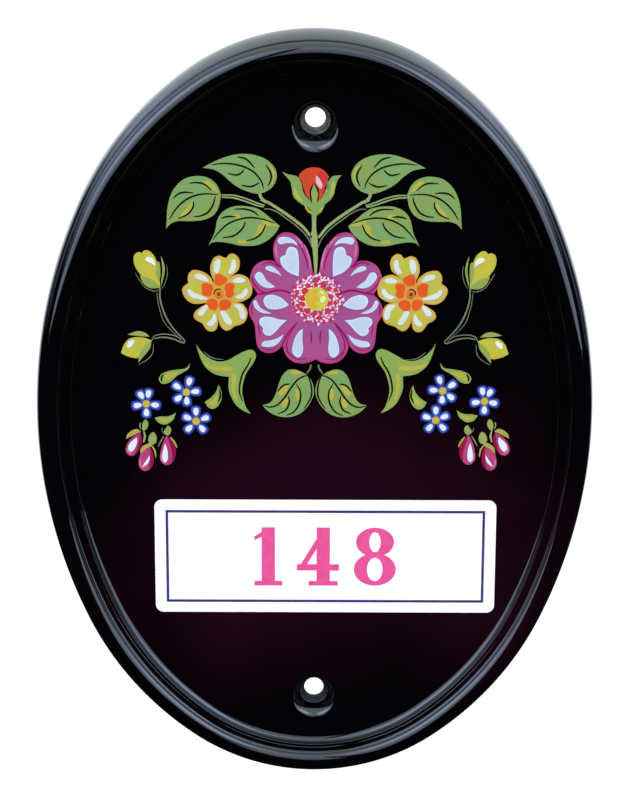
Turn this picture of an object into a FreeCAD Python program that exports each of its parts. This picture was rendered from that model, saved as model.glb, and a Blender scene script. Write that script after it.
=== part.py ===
import FreeCAD, Part
import os
from math import atan2, cos, hypot, pi, radians, sin, sqrt
from FreeCAD import Vector

# House number plaque of black glazed ceramic with a printed flower spray, in millimetres.
# It hangs upright: +Z is up, the front faces -Y, and the wall is the plane y = 0.
# The origin is the middle of the plaque on the wall plane.
# A "height" below is a distance out from the wall, along -Y.

# Overall size, and the angles of the outline's normal where its arcs meet
plaque_width = 150.0
plaque_height = 209.0
oval_joints = (24.3, 54.6)

# Slab: the flat field in front, the hollow behind it and the foot that meets the wall
field_height = 9.0
hollow_depth = 3.0
foot_width = 7.0
foot_lean = 1.0

# Outer side, which bellies out a little and narrows towards the front
side_height = 10.8
side_lean = 1.1
side_belly = 0.45
back_edge_radius = 1.2

# Rolled rim, then a fine raised line between two grooves, then the cove down to the field
roll_width = 5.3
roll_rise = 2.9
groove_width = 0.7
groove_depth = 0.35
line_width = 0.9
line_rise = 0.3
cove_radius = 2.3

# Screw wells on the centre line: the hole, its bare conical seat and the glazed well
screw_spacing = 162.4
screw_hole_radius = 2.7
screw_hole_land = 0.6
seat_radius = 4.0
seat_rise = 1.8
well_floor_radius = 4.7
well_top_radius = 5.7
well_lip = 2.4

# Printed enamel: each coat is this thick, and a second coat lies on the first.
# The whole print was laid a little above the middle that its places are measured from.
coat = 0.1
print_rise = 0.55
print_scale = min(plaque_width / 150, plaque_height / 209)

# Round stretches are drawn with short flats, which keeps the solids light
roll_flats = 5
small_flats = 2
cove_flats = 3
lip_flats = 3
leaf_flats = 6
drop_flats = 5
stalk_flats = 4
dot_flats = 8
oval_flats = 28

# Big flower in the middle
flower_x = 0.2
flower_z = 32.9
disc_radius = 3.4
stamen_count = 16
stamen_radius = 0.65
stamen_inner_ring = 4.9
stamen_outer_ring = 6.3

# Primroses beside it, each with an orange heart on every petal
primrose_x = 25.2
primrose_z = 34.6
primrose_radius = 10.4
primrose_turn = 78.6
primrose_eye = 1.9
heart_length = 3.1
heart_width = 3.7

# Small blue flowers: the left ones, as x, z and turn
blue_radius = 4.1
blue_eye_radius = 0.95
blue_flowers = ((-45.0, 3.4, 68.0), (-34.3, 6.4, 70.0), (-31.9, -1.5, 90.0))

# Pink hanging buds: the left ones, as the places of their stem ends and tips
pink_buds = (((-46.2, -4.8), (-49.9, -11.6)),
             ((-44.1, -9.2), (-45.9, -15.9)),
             ((-39.5, -6.0), (-39.5, -14.4)))
pink_bud_width = 4.0

# Number panel, its line and its numerals
panel_width = 92.7
panel_height = 32.9
panel_x = 3.0
panel_z = -40.5
panel_corner = 2.2
panel_margin = 3.0
panel_line_width = 0.7
numeral_height = 17.0
numeral_gap = 4.0
numeral_width = 11.5
numeral_stem = 3.6
numeral_hairline = 1.3
numeral_serif = 7.6


def at(x, z, height):
    return Vector(x, -height, z)


def coat_height(layer):
    return field_height + layer * coat


def both_sides(shapes):
    return shapes + [s.mirror(Vector(0, 0, 0), Vector(1, 0, 0)) for s in shapes]


def joined(shapes):
    return shapes[0].fuse(shapes[1:]).removeSplitter()


# Ceramic body

def oval_arcs():
    """The oval as eight arcs that meet tangentially: centre, radius and the angles they span."""
    half_w = plaque_width / 2
    half_h = plaque_height / 2
    first, second = oval_joints
    turn_1, turn_2 = radians(first), radians(second)
    # The middle radius is the mean of the oval's, and the half width and height give the others.
    middle = sqrt(half_w * half_h)
    a, b, c = cos(turn_1) - 1, -cos(turn_2), middle * (cos(turn_1) - cos(turn_2)) - half_w
    d, e, f = sin(turn_1), 1 - sin(turn_2), half_h + middle * (sin(turn_1) - sin(turn_2))
    side = (c * e - b * f) / (a * e - b * d)
    end = (a * f - c * d) / (a * e - b * d)
    x = half_w - side + (side - middle) * cos(turn_1)
    z = (side - middle) * sin(turn_1)
    return [(half_w - side, 0, side, -first, first),
            (x, z, middle, first, second),
            (0, half_h - end, end, second, 180 - second),
            (-x, z, middle, 180 - second, 180 - first),
            (side - half_w, 0, side, 180 - first, 180 + first),
            (-x, -z, middle, 180 + first, 180 + second),
            (0, end - half_h, end, 180 + second, 360 - second),
            (x, -z, middle, 360 - second, 360 - first)]


def round_flats(start, middle, end, flats):
    """Points on the arc through three points, given as (inset, height)."""
    (ax, ay), (bx, by), (cx, cy) = start, middle, end
    d = 2 * (ax * (by - cy) + bx * (cy - ay) + cx * (ay - by))
    a, b, c = ax * ax + ay * ay, bx * bx + by * by, cx * cx + cy * cy
    x = (a * (by - cy) + b * (cy - ay) + c * (ay - by)) / d
    y = (a * (cx - bx) + b * (ax - cx) + c * (bx - ax)) / d
    radius = hypot(ax - x, ay - y)
    first, last = atan2(ay - y, ax - x), atan2(cy - y, cx - x)
    # The three points turn clockwise where d is negative.
    if d < 0 and last > first:
        last -= 2 * pi
    if d > 0 and last < first:
        last += 2 * pi
    turns = [first + (last - first) * i / flats for i in range(1, flats)]
    return [start] + [(x + radius * cos(t), y + radius * sin(t)) for t in turns] + [end]


def rim_points():
    """Section of the rim as (inset from the outline, height), from the hollow to the field."""
    roll_start = side_lean + groove_width / 2
    roll_end = roll_start + roll_width
    line_start = roll_end + groove_width
    line_end = line_start + line_width
    cove_start = line_end + groove_width
    cove_top = field_height + cove_radius
    valley = cove_top - groove_depth
    diagonal = 1 - cos(pi / 4)
    edge_mid = (back_edge_radius * diagonal, back_edge_radius * diagonal)
    side_mid = (side_lean / 2 - side_belly, (side_height + back_edge_radius) / 2)
    roll_mid = ((roll_start + roll_end) / 2, side_height + roll_rise)
    line_mid = ((line_start + line_end) / 2, valley + line_rise)
    cove_mid = (cove_start + cove_radius * diagonal, field_height + cove_radius * diagonal)
    cove_end = (cove_start + cove_radius, field_height)
    foot = [(foot_width + foot_lean, hollow_depth), (foot_width, 0)]
    edge = round_flats((back_edge_radius, 0), edge_mid, (0, back_edge_radius), small_flats)
    side = round_flats((0, back_edge_radius), side_mid, (side_lean, side_height), small_flats)
    roll = round_flats((roll_start, side_height), roll_mid, (roll_end, valley), roll_flats)
    line = [(line_start, valley), line_mid, (line_end, valley)]
    cove = round_flats((cove_start, cove_top), cove_mid, cove_end, cove_flats)
    return foot + edge + side[1:] + roll + line + [(cove_start - groove_width / 2, valley)] + cove


def rim_faces():
    """The rim's section swung along each arc of the oval."""
    faces = []
    for x, z, radius, start, stop in oval_arcs():
        section = Part.makePolygon([at(radius - inset, 0, height) for inset, height in rim_points()])
        section.rotate(Vector(0, 0, 0), Vector(0, -1, 0), start)
        section.translate(Vector(x, 0, z))
        faces += section.revolve(Vector(x, 0, z), Vector(0, -1, 0), stop - start).Faces
    return faces


def level_face(faces, height):
    """Flat face inside the rim, bounded by the rim's innermost edges at this height."""
    def inner_edges(face):
        box = [e.BoundBox for e in face.Edges]
        flat = [e for e, b in zip(face.Edges, box) if max(abs(b.YMin + height), abs(b.YMax + height)) < 0.01]
        return sorted(flat, key=lambda e: e.Length)[:1]

    edges = [e for face in faces for e in inner_edges(face)]
    return Part.Face(Part.Wire(Part.sortEdges(edges)[0]))


def screw_well(z):
    """What is removed for one screw: a glazed well with a soft lip, a bare seat and the hole."""
    seat_foot = hollow_depth + screw_hole_land
    seat_top = seat_foot + seat_rise
    lip_radius = well_top_radius + well_lip
    past_back, past_front = hollow_depth - 1, field_height + 1
    diagonal = 1 - cos(pi / 4)
    lip = round_flats((well_top_radius, field_height - well_lip),
                      (well_top_radius + well_lip * diagonal, field_height - well_lip * diagonal),
                      (lip_radius, field_height), lip_flats)
    points = [(0, past_back), (screw_hole_radius, past_back), (screw_hole_radius, seat_foot),
              (seat_radius, seat_top), (well_floor_radius, seat_top)]
    points += lip + [(lip_radius, past_front), (0, past_front), (0, past_back)]
    section = Part.makePolygon([at(radius, z, height) for radius, height in points])
    return Part.Face(section).revolve(Vector(0, 0, z), Vector(0, 1, 0), 360)


def ceramic_body():
    rim = rim_faces()
    shell = Part.makeShell(rim + [level_face(rim, field_height), level_face(rim, hollow_depth)])
    shell.sewShape()
    body = Part.makeSolid(shell)
    if body.Volume < 0:
        body.reverse()
    return body.cut([screw_well(side * screw_spacing / 2) for side in (1, -1)]).Solids[0]


# Shapes of the print

def laid(points, layer=0):
    """One coat of enamel inside this outline, on the glaze or on the first coat."""
    corners = [at(x * print_scale, (z + print_rise) * print_scale, coat_height(layer)) for x, z in points]
    return Part.Face(Part.makePolygon(corners + corners[:1])).extrude(Vector(0, -coat, 0))


def smooth_loop(points, flats):
    """A closed curve through the points, with this many flats from each to the next."""
    loop = []
    count = len(points)
    for i in range(count):
        before, start, end, after = (points[(i + k) % count] for k in (-1, 0, 1, 2))
        for j in range(flats):
            t = j / flats
            weights = (-t + 2 * t ** 2 - t ** 3, 2 - 5 * t ** 2 + 3 * t ** 3,
                       t + 4 * t ** 2 - 3 * t ** 3, t ** 3 - t ** 2)
            four = (before, start, end, after)
            loop.append(tuple(sum(w * p[axis] for w, p in zip(weights, four)) / 2 for axis in (0, 1)))
    return loop


def on_bend(start, bend, end, s):
    """Point at share s of a curve that bends once, and the unit vector to its left."""
    x = (1 - s) ** 2 * start[0] + 2 * s * (1 - s) * bend[0] + s * s * end[0]
    z = (1 - s) ** 2 * start[1] + 2 * s * (1 - s) * bend[1] + s * s * end[1]
    dx = (1 - s) * (bend[0] - start[0]) + s * (end[0] - bend[0])
    dz = (1 - s) * (bend[1] - start[1]) + s * (end[1] - bend[1])
    return x, z, -dz / hypot(dx, dz), dx / hypot(dx, dz)


def leaf(base, bend, tip, left, right, layer=0, fullness=0.5, point=1.0, flats=leaf_flats):
    """A leaf, bud or brush drop: its midrib bends once, and each side swells and narrows again."""
    widest = fullness / (fullness + point)
    peak = widest ** fullness * (1 - widest) ** point

    def side(width):
        points = []
        for i in range(1, flats):
            s = (1 - cos(pi * i / flats)) / 2
            x, z, across_x, across_z = on_bend(base, bend, tip, s)
            reach = width * s ** fullness * (1 - s) ** point / peak
            points.append((x + across_x * reach, z + across_z * reach))
        return points

    return laid([base] + side(left) + [tip] + side(-right)[::-1], layer)


def drop(base, tip, width, **shape):
    """A straight leaf, bud or brush mark."""
    middle = ((base[0] + tip[0]) / 2, (base[1] + tip[1]) / 2)
    return leaf(base, middle, tip, width / 2, width / 2, flats=drop_flats, **shape)


def stalk(start, bend, end, width):
    """A stem of even width that bends once, cut square at both ends."""
    def side(reach):
        points = []
        for i in range(stalk_flats + 1):
            x, z, across_x, across_z = on_bend(start, bend, end, i / stalk_flats)
            points.append((x + across_x * reach, z + across_z * reach))
        return points

    return laid(side(width / 2) + side(-width / 2)[::-1])


def oval(x, z, width, height, layer, flats):
    angles = [2 * pi * k / flats for k in range(flats)]
    return laid([(x + width / 2 * cos(a), z + height / 2 * sin(a)) for a in angles], layer)


def dot(x, z, radius, flats=dot_flats):
    return oval(x, z, 2 * radius, 2 * radius, 1, flats)


def rosette(x, z, radius, turn, petal, flats, petals=5):
    """A flower outline. A petal is a list of (share of its angle, share of the radius)."""
    points = []
    for k in range(petals):
        for share, reach in petal:
            angle = radians(turn + 360 * (k + share) / petals)
            points.append((x + radius * reach * cos(angle), z + radius * reach * sin(angle)))
    return laid(smooth_loop(points, flats))


def heart(x, z, length, width, turn):
    """A heart in the second coat, with its point at (x, z) and its lobes towards the turn."""
    half = [(0.35, 0.26), (0.72, 0.5), (0.93, 0.42), (1.0, 0.24)]
    along_x, along_z = length * cos(radians(turn)), length * sin(radians(turn))
    across_x, across_z = -width * sin(radians(turn)), width * cos(radians(turn))
    outline = [(0.0, 0.0)] + half + [(0.84, 0.0)] + [(u, -v) for u, v in reversed(half)]
    return laid([(x + along_x * u + across_x * v, z + along_z * u + across_z * v) for u, v in outline], 1)


def bar(left, right, foot, top, layer=1):
    return laid([(left, foot), (right, foot), (right, top), (left, top)], layer)


# First coats

def green_print():
    """Leaves, stems and sepals."""
    half = [
        leaf((-14.2, 61.6), (-16.5, 72.6), (-29.4, 68.7), 3.6, 4.4),
        leaf((-24.7, 61.3), (-32.9, 63.8), (-39.1, 52.3), 5.6, 5.3),
        leaf((-9.5, 53.2), (-17.9, 59.4), (-28.0, 47.4), 6.2, 4.2, point=0.85),
        stalk((-25.2, 61.2), (-19.0, 61.4), (-13.4, 58.9), 0.5),
        stalk((-14.3, 59.4), (-5.9, 56.0), (-0.4, 47.6), 0.95),
        stalk((-14.2, 61.9), (-14.0, 60.0), (-13.0, 59.0), 0.7),
        leaf((-1.6, 57.3), (-7.0, 61.8), (-8.5, 67.6), 1.5, 0.9, fullness=0.8),
        leaf((-2.4, 11.9), (-6.8, 4.7), (-14.6, 3.0), 4.9, 3.6),
        stalk((-1.3, 14.7), (-1.3, 13.2), (-2.6, 11.5), 0.5),
        leaf((-22.6, 12.0), (-28.9, 11.6), (-31.8, 20.4), 2.2, 1.9, fullness=0.25),
        leaf((-24.6, 12.3), (-20.6, 14.6), (-15.4, 17.8), 1.9, 1.9, fullness=0.4, point=0.3),
        leaf((-19.3, 16.9), (-23.6, 6.0), (-16.8, 0.2), 1.9, 1.6, fullness=0.35),
        leaf((-17.0, 16.6), (-19.8, 12.3), (-20.0, 5.4), 0.35, 0.35),
        leaf((-41.4, 8.8), (-38.9, 13.6), (-33.4, 15.0), 0.9, 1.0, fullness=0.35),
        leaf((-28.2, 2.6), (-26.6, 3.4), (-25.6, 8.8), 1.2, 1.4, fullness=0.4),
        leaf((-42.8, -0.8), (-39.5, -3.4), (-37.0, 0.6), 0.1, 1.4),
        stalk((-41.1, 36.6), (-40.9, 28.8), (-34.6, 20.6), 0.55),
        stalk((-43.2, 21.4), (-39.4, 23.0), (-34.5, 20.3), 0.5),
        leaf((-41.3, 36.4), (-39.2, 40.6), (-40.7, 45.0), 0.6, 0.6, fullness=0.4),
        leaf((-41.2, 36.0), (-46.4, 35.6), (-47.5, 40.2), 0.3, 1.1, fullness=0.4),
        leaf((-43.4, 21.9), (-46.7, 24.4), (-49.4, 22.4), 0.6, 0.4),
        leaf((-43.2, 21.5), (-43.6, 17.4), (-46.7, 14.8), 0.4, 1.0, fullness=0.6),
    ]
    for (x, z), _ in pink_buds:
        half.append(drop((x + 0.1, z - 0.2), (x + 0.8, z + 3.4), 1.6, point=0.4))
        half.append(leaf((x + 0.5, z + 0.5), (x - 2.0, z + 0.3), (x - 3.0, z - 2.4), 0.5, 0.5))
        half.append(leaf((x + 0.1, z + 0.5), (x + 1.4, z - 0.4), (x + 1.7, z - 3.0), 0.4, 0.4))
    middle = [
        drop((0, 54.6), (0, 64.2), 1.8, fullness=0.8),
        drop((0, 54.4), (0, 60.6), 4.4, fullness=0.7, point=0.6),
        stalk((0, 56.5), (0, 48.0), (0, 40.9), 1.0),
    ]
    return joined(both_sides(half) + middle)


def magenta_flower():
    """Five petals with two lobes each. The left half is listed as (degrees, reach)."""
    left = [(112, 19.0), (120, 19.9), (129, 17.6), (137, 15.6), (146, 17.3), (157, 17.9), (168, 16.8),
            (173.5, 15.2), (180, 16.6), (190, 17.3), (203, 17.0), (214, 18.6), (224, 20.4), (231, 20.2),
            (237, 17.2), (241, 16.4), (247, 18.0), (254, 18.9), (262, 18.0)]
    left_points = [(r * cos(radians(a)), r * sin(radians(a))) for a, r in left]
    cleft_top, cleft_side, notch = (0, 8.0), (-3.3, 13.2), (0, -16.8)
    outline = [cleft_top, cleft_side] + left_points + [notch]
    outline += [(-x, z) for x, z in reversed(left_points)] + [(-cleft_side[0], cleft_side[1])]
    points = [(flower_x + x, flower_z + z) for x, z in outline]
    return laid(smooth_loop(points, flats=2))


def pink_bud_print():
    return both_sides([drop(base, tip, pink_bud_width, fullness=0.9, point=0.45)
                       for base, tip in pink_buds])


def yellow_petals():
    half_petal = [(0.14, 1.0), (0.3, 0.93), (0.42, 0.66)]
    petal = [(0.0, 0.88)] + half_petal + [(0.5, 0.42)] + [(1 - u, r) for u, r in reversed(half_petal)]
    return both_sides([
        rosette(-primrose_x, primrose_z, primrose_radius, primrose_turn, petal, flats=2),
        drop((-41.3, 36.6), (-45.6, 46.0), 5.9, fullness=0.8, point=0.42),
        drop((-43.4, 21.6), (-51.5, 17.6), 4.8, fullness=0.7, point=0.5),
    ])


def blue_petals():
    half_petal = [(0.2, 0.86), (0.38, 0.62)]
    petal = [(0.0, 1.0)] + half_petal + [(0.5, 0.42)] + [(1 - u, r) for u, r in reversed(half_petal)]
    return both_sides([rosette(x, z, blue_radius, turn, petal, flats=1) for x, z, turn in blue_flowers])


def red_bud():
    return drop((0, 58.9), (0, 69.2), 7.8, fullness=0.75, point=0.4)


# Second coats

def stamens():
    dots = []
    for k in range(stamen_count):
        angle = 2 * pi * (k + 0.5) / stamen_count
        reach = stamen_inner_ring if k % 2 else stamen_outer_ring
        x, z = flower_x + reach * cos(angle), flower_z + reach * sin(angle)
        dots.append(dot(x, z, stamen_radius, flats=8))
    return dots


def orange_hearts():
    hearts = []
    for k in range(5):
        turn = primrose_turn + 72 * k
        x = primrose_eye * cos(radians(turn)) - primrose_x
        z = primrose_eye * sin(radians(turn)) + primrose_z
        hearts.append(heart(x, z, heart_length, heart_width, turn))
    return both_sides(hearts)


def yellow_eyes():
    eyes = [dot(x, z, blue_eye_radius) for x, z, turn in blue_flowers]
    return both_sides(eyes) + [dot(flower_x, flower_z, disc_radius, oval_flats)]


def white_highlights():
    """Pale brush marks and hearts on the petals and buds."""
    half = [
        leaf((-10.0, 48.6), (-7.0, 51.0), (-4.5, 47.6), 0.6, 0.6, layer=1, fullness=0.3),
        heart(-4.1, 39.0, 8.4, 6.4, 118),
        leaf((-13.2, 41.5), (-10.8, 41.6), (-9.0, 39.3), 0.5, 0.5, layer=1, fullness=0.3),
        leaf((-15.4, 40.6), (-13.4, 36.2), (-10.4, 35.8), 1.2, 1.2, layer=1, fullness=0.3),
        leaf((-13.9, 32.4), (-10.4, 33.0), (-7.0, 31.0), 1.7, 1.9, layer=1, fullness=0.45),
        leaf((-16.2, 32.2), (-14.5, 29.2), (-11.6, 28.8), 0.5, 0.6, layer=1, fullness=0.3),
        heart(-7.2, 27.2, 8.0, 6.0, 208),
        leaf((-14.2, 19.8), (-10.4, 20.0), (-8.3, 22.8), 0.7, 0.7, layer=1, fullness=0.3),
        leaf((-4.8, 16.2), (-5.2, 20.8), (-2.9, 24.6), 1.4, 1.4, layer=1, fullness=0.35),
    ]
    for base, tip in pink_buds:
        points = [(base[0] + (tip[0] - base[0]) * s, base[1] + (tip[1] - base[1]) * s) for s in (0.88, 0.4)]
        half.append(drop(*points, 1.2, layer=1, fullness=0.4))
    return both_sides(half)


# Number panel

def panel_half_width():
    """Half the panel's width, or less where the field is too narrow for it at the panel's foot."""
    rim = side_lean + roll_width + groove_width * 2.5 + line_width + cove_radius
    foot = (panel_z + print_rise - panel_height / 2) * print_scale
    field = (plaque_width / 2 - rim) * sqrt(1 - (foot / (plaque_height / 2 - rim)) ** 2)
    return min(panel_width / 2, field / print_scale - panel_x)


def panel_ground():
    w, h = panel_half_width(), panel_height / 2
    plate = bar(panel_x - w, panel_x + w, panel_z - h, panel_z + h, layer=0)
    corners = [e for e in plate.Edges if e.BoundBox.YLength > coat / 2 and e.Length < coat * 2]
    return plate.makeFillet(panel_corner, corners)


def panel_line():
    def inside(margin):
        w, h = panel_half_width() - margin, panel_height / 2 - margin
        return bar(panel_x - w, panel_x + w, panel_z - h, panel_z + h)

    return inside(panel_margin).cut(inside(panel_margin + panel_line_width))


def numeral_one(left, foot):
    top = foot + numeral_height
    middle = left + numeral_serif / 2
    stem_left, stem_right = middle - numeral_stem / 2, middle + numeral_stem / 2
    flag_low, flag_high = foot + numeral_height * 0.78, foot + numeral_height * 0.84
    flag = [(left, flag_low), (stem_left, flag_high), (stem_right, top), (middle, top), (left, flag_high)]
    return joined([
        bar(stem_left, stem_right, foot, top),
        bar(left, left + numeral_serif, foot, foot + numeral_hairline),
        laid(flag, 1),
    ])


def numeral_four(left, foot):
    top = foot + numeral_height
    right = left + numeral_width
    stem_right = right - numeral_width * 0.22
    stem_left = stem_right - numeral_stem
    spread = numeral_stem * 0.6
    cross = foot + numeral_height * 0.26
    slope_foot, slope_top = left + numeral_hairline * 1.3, stem_right - numeral_hairline * 1.3
    return joined([
        bar(stem_left, stem_right, foot, top),
        bar(stem_left - spread, stem_right + spread, foot, foot + numeral_hairline),
        bar(left, right, cross, cross + numeral_hairline * 1.4),
        laid([(left, cross), (slope_foot, cross), (stem_right, top), (slope_top, top)], 1),
    ])


def numeral_eight(left, foot):
    middle = left + numeral_width / 2
    bowls, eyes = [], []
    for width, share, rise in ((1.0, 0.56, 0.28), (0.9, 0.5, 0.75)):
        wide, tall = numeral_width * width, numeral_height * share
        z = foot + numeral_height * rise
        bowls.append(oval(middle, z, wide, tall, 1, oval_flats))
        eyes.append(oval(middle, z, wide - 2 * numeral_stem, tall - 2 * numeral_hairline, 1, oval_flats))
    return bowls[0].fuse(bowls[1]).removeSplitter().cut(eyes)


def numerals():
    foot = panel_z - numeral_height / 2
    whole = numeral_serif + 2 * numeral_width + 2 * numeral_gap
    first = panel_x - whole / 2
    second = first + numeral_serif + numeral_gap
    third = second + numeral_width + numeral_gap
    return [numeral_one(first, foot), numeral_four(second, foot), numeral_eight(third, foot)]


def knocked_out(shapes, overlays):
    """Shapes with room left for what is printed over them in the same coat."""
    solids = [solid for overlay in overlays for solid in overlay.Solids]
    left = []
    for shape in shapes:
        near = [solid for solid in solids if solid.BoundBox.intersect(shape.BoundBox)]
        left.append(shape.cut(near) if near else shape)
    return left


# Whole plaque, one node for the ceramic and one for each printing colour

def plaque():
    flower = magenta_flower()
    green = green_print().cut(flower)
    return {
        "ceramic_plaque": [ceramic_body()],
        "print_green": [green],
        "print_magenta": [flower] + knocked_out(pink_bud_print(), [green]),
        "print_yellow": knocked_out(yellow_petals(), [green, flower]) + yellow_eyes(),
        "print_blue": knocked_out(blue_petals(), [green]),
        "print_red": knocked_out([red_bud()], [green]) + stamens(),
        "print_orange": orange_hearts(),
        "print_white": white_highlights(),
        "panel_ground": [panel_ground()],
        "panel_line": [panel_line()],
        "panel_numerals": numerals(),
    }


os.makedirs("parts", exist_ok=True)
for node, shapes in plaque().items():
    solids = [solid for shape in shapes for solid in shape.Solids]
    whole = solids[0] if len(solids) == 1 else Part.makeCompound(solids)
    whole.exportStep("parts/" + node + ".step")
    print(node, len(solids), "solids", round(whole.Volume, 2), "mm3")
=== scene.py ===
import bpy
import bmesh
import random
from math import atan2, cos, hypot, pi, radians, sin, sqrt
from mathutils import Matrix, Vector


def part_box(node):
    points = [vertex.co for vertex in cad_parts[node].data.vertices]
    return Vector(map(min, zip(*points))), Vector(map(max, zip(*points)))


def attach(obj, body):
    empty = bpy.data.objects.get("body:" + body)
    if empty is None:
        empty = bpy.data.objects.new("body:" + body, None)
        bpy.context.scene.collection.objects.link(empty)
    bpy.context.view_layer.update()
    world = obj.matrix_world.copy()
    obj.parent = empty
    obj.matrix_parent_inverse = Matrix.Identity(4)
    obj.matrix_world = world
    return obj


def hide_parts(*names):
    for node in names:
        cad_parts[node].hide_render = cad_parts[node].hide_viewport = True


# Oval house number plaque: black glazed ceramic, a printed flower spray and a number panel.
# It hangs upright with its front towards -Y and the wall at y = 0. Places on its face are in
# millimetres as (x, z), and a height is a distance out from the wall.
MM = 0.001

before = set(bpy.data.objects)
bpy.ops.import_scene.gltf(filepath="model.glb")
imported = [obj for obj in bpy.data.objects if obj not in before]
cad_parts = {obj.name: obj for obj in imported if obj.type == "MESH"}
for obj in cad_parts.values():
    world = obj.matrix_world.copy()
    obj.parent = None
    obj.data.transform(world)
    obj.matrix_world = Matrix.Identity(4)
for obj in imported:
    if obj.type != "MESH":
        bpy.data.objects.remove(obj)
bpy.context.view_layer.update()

# Sizes read from the frame
plaque_low, plaque_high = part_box("ceramic_plaque")
half_width = plaque_high.x / MM
half_height = plaque_high.z / MM
rim_height = -plaque_low.y / MM
field_height = -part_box("panel_ground")[1].y / MM

# Sizes of the section, as the plaque is moulded
oval_joints = (24.3, 54.6)
hollow_depth = 3.0
foot_width = 7.0
foot_lean = 1.0
side_height = 10.8
side_lean = 1.1
side_belly = 0.45
back_edge_radius = 1.2
roll_width = 5.3
groove_width = 0.7
groove_depth = 0.08
line_width = 0.9
line_rise = 0.1
glaze_pool = 0.5
cove_radius = 2.3

# Screw wells. The lip's arc passes two points, as shares of its width inwards and downwards. The
# section swings round the screw's own line on a path of a hair's radius.
screw_place = 81.2
hole_radius = 2.7
hole_land = 0.6
seat_radius = 3.7
seat_top = hollow_depth + hole_land + 1.8
seat_stain = 0.15
well_floor_radius = 4.0
well_floor_bevel = 0.1
well_top_radius = 4.8
well_lip = 1.5
lip_bends = ((0.7, 0.08), (0.48, 0.27))
shoulder_inset = 0.3
shoulder_drop = 2.0
well_drops = (1.8, 0.9)
drop_reach = 1.1
swing_radius = 0.001

# How finely round forms are drawn, and what counts as no distance, in metres
oval_steps = 320
well_steps = 72
curve_flats = 6
hair = 1e-6

# Print: the steps in which the colours lie on each other, and how far neighbours in one layer
# differ, over so many shapes
ply = 0.02
neighbour_share = 0.12
neighbour_count = 7

# Print: how wide the edge lines and veins are, and how large a mark's shade and middle are to it
petal_edge = 0.55
primrose_edge = 0.3
lobe_edge = 0.22
stroke_gain = 0.2
stamen_edge = 0.12
stamen_gap = 0.1
vein_width = 0.5
mark_shade = 1.13
mark_middle = 0.82

# Camera: the photograph's distance, height and turn, and where the plaque's middle falls in it
photo_height = 800
camera_distance = 0.8
camera_elevation = 19.08
camera_azimuth = 0.06
camera_roll = 0.16
camera_scale = 3688.8
middle_right = -0.38
middle_down = 7.02
sensor_size = 36.0

# Studio: the floor, and window panes as (left, right, foot at the left, foot at the right)
floor_drop = 0.28
floor_front = 0.02
floor_side = 4.0
floor_back = 8.0
window_front = -0.55
window_top = 1.3
window_panes = ((-2.2, -0.12, -0.32, 0.03), (-0.07, 0.24, 0.12, 0.1), (0.31, 2.2, -0.07, -0.38))


# Nodes, materials and objects

def srgb(red, green, blue):
    """Linear colour from the 0 to 255 values that a picture shows."""
    def linear(v):
        v /= 255
        return v / 12.92 if v <= 0.04045 else ((v + 0.055) / 1.055) ** 2.4
    return (linear(red), linear(green), linear(blue), 1.0)


def add_node(tree, kind, inputs=None, **settings):
    """A node with its settings. Each input is a value or the output that feeds it."""
    node = tree.nodes.new(kind)
    for label, setting in settings.items():
        setattr(node, label, setting)
    for label, value in (inputs or {}).items():
        if isinstance(value, bpy.types.NodeSocket):
            tree.links.new(value, node.inputs[label])
        else:
            node.inputs[label].default_value = value
    return node


def maths(tree, operation, *terms):
    return add_node(tree, "ShaderNodeMath", dict(enumerate(terms)), operation=operation).outputs["Value"]


def ranged(tree, value, low, high, start=0.0, end=1.0, kind="LINEAR"):
    """The value, carried from low and high to start and end."""
    inputs = {"Value": value, "From Min": low, "From Max": high, "To Min": start, "To Max": end}
    return add_node(tree, "ShaderNodeMapRange", inputs, interpolation_type=kind).outputs["Result"]


def mixed(tree, share, first, second):
    inputs = {"Factor": share, "A": first, "B": second}
    return add_node(tree, "ShaderNodeMix", inputs, data_type="RGBA").outputs["Result"]


def for_camera(tree, share, other, seen):
    """This share of one shader where the camera looks straight at it, and another elsewhere."""
    looks = add_node(tree, "ShaderNodeLightPath").outputs["Is Camera Ray"]
    inputs = {"Fac": maths(tree, "MULTIPLY", looks, share), 1: other, 2: seen}
    return add_node(tree, "ShaderNodeMixShader", inputs).outputs["Shader"]


def new_material(name, looks):
    material = bpy.data.materials.new(name)
    material.use_nodes = True
    tree = material.node_tree
    shader = tree.nodes["Principled BSDF"]
    for label, value in looks.items():
        shader.inputs[label].default_value = value
    return material, tree, shader


def patchy_colour(tree, shader, low, high, scale, start=0.42, end=0.62):
    """Colour that drifts between two tones in soft patches, this many to a metre."""
    place = add_node(tree, "ShaderNodeTexCoord").outputs["Object"]
    noise = add_node(tree, "ShaderNodeTexNoise", {"Vector": place, "Scale": scale, "Detail": 3.0})
    ramp = add_node(tree, "ShaderNodeValToRGB", {"Fac": noise.outputs["Fac"]})
    for stop, position, tone in zip(ramp.color_ramp.elements, (start, end), (low, high)):
        stop.position = position
        stop.color = srgb(*tone)
    tree.links.new(ramp.outputs["Color"], shader.inputs["Base Color"])
    return place, noise, ramp


def bumped(tree, shader, place, scale, strength, distance, detail=2.0):
    """Fine relief on the surface, on top of any that the shader already has."""
    noise = add_node(tree, "ShaderNodeTexNoise", {"Vector": place, "Scale": scale, "Detail": detail})
    bump = add_node(tree, "ShaderNodeBump", {
        "Height": noise.outputs["Fac"], "Strength": strength, "Distance": distance})
    if shader.inputs["Normal"].is_linked:
        tree.links.new(shader.inputs["Normal"].links[0].from_socket, bump.inputs["Normal"])
    tree.links.new(bump.outputs["Normal"], shader.inputs["Normal"])


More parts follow.
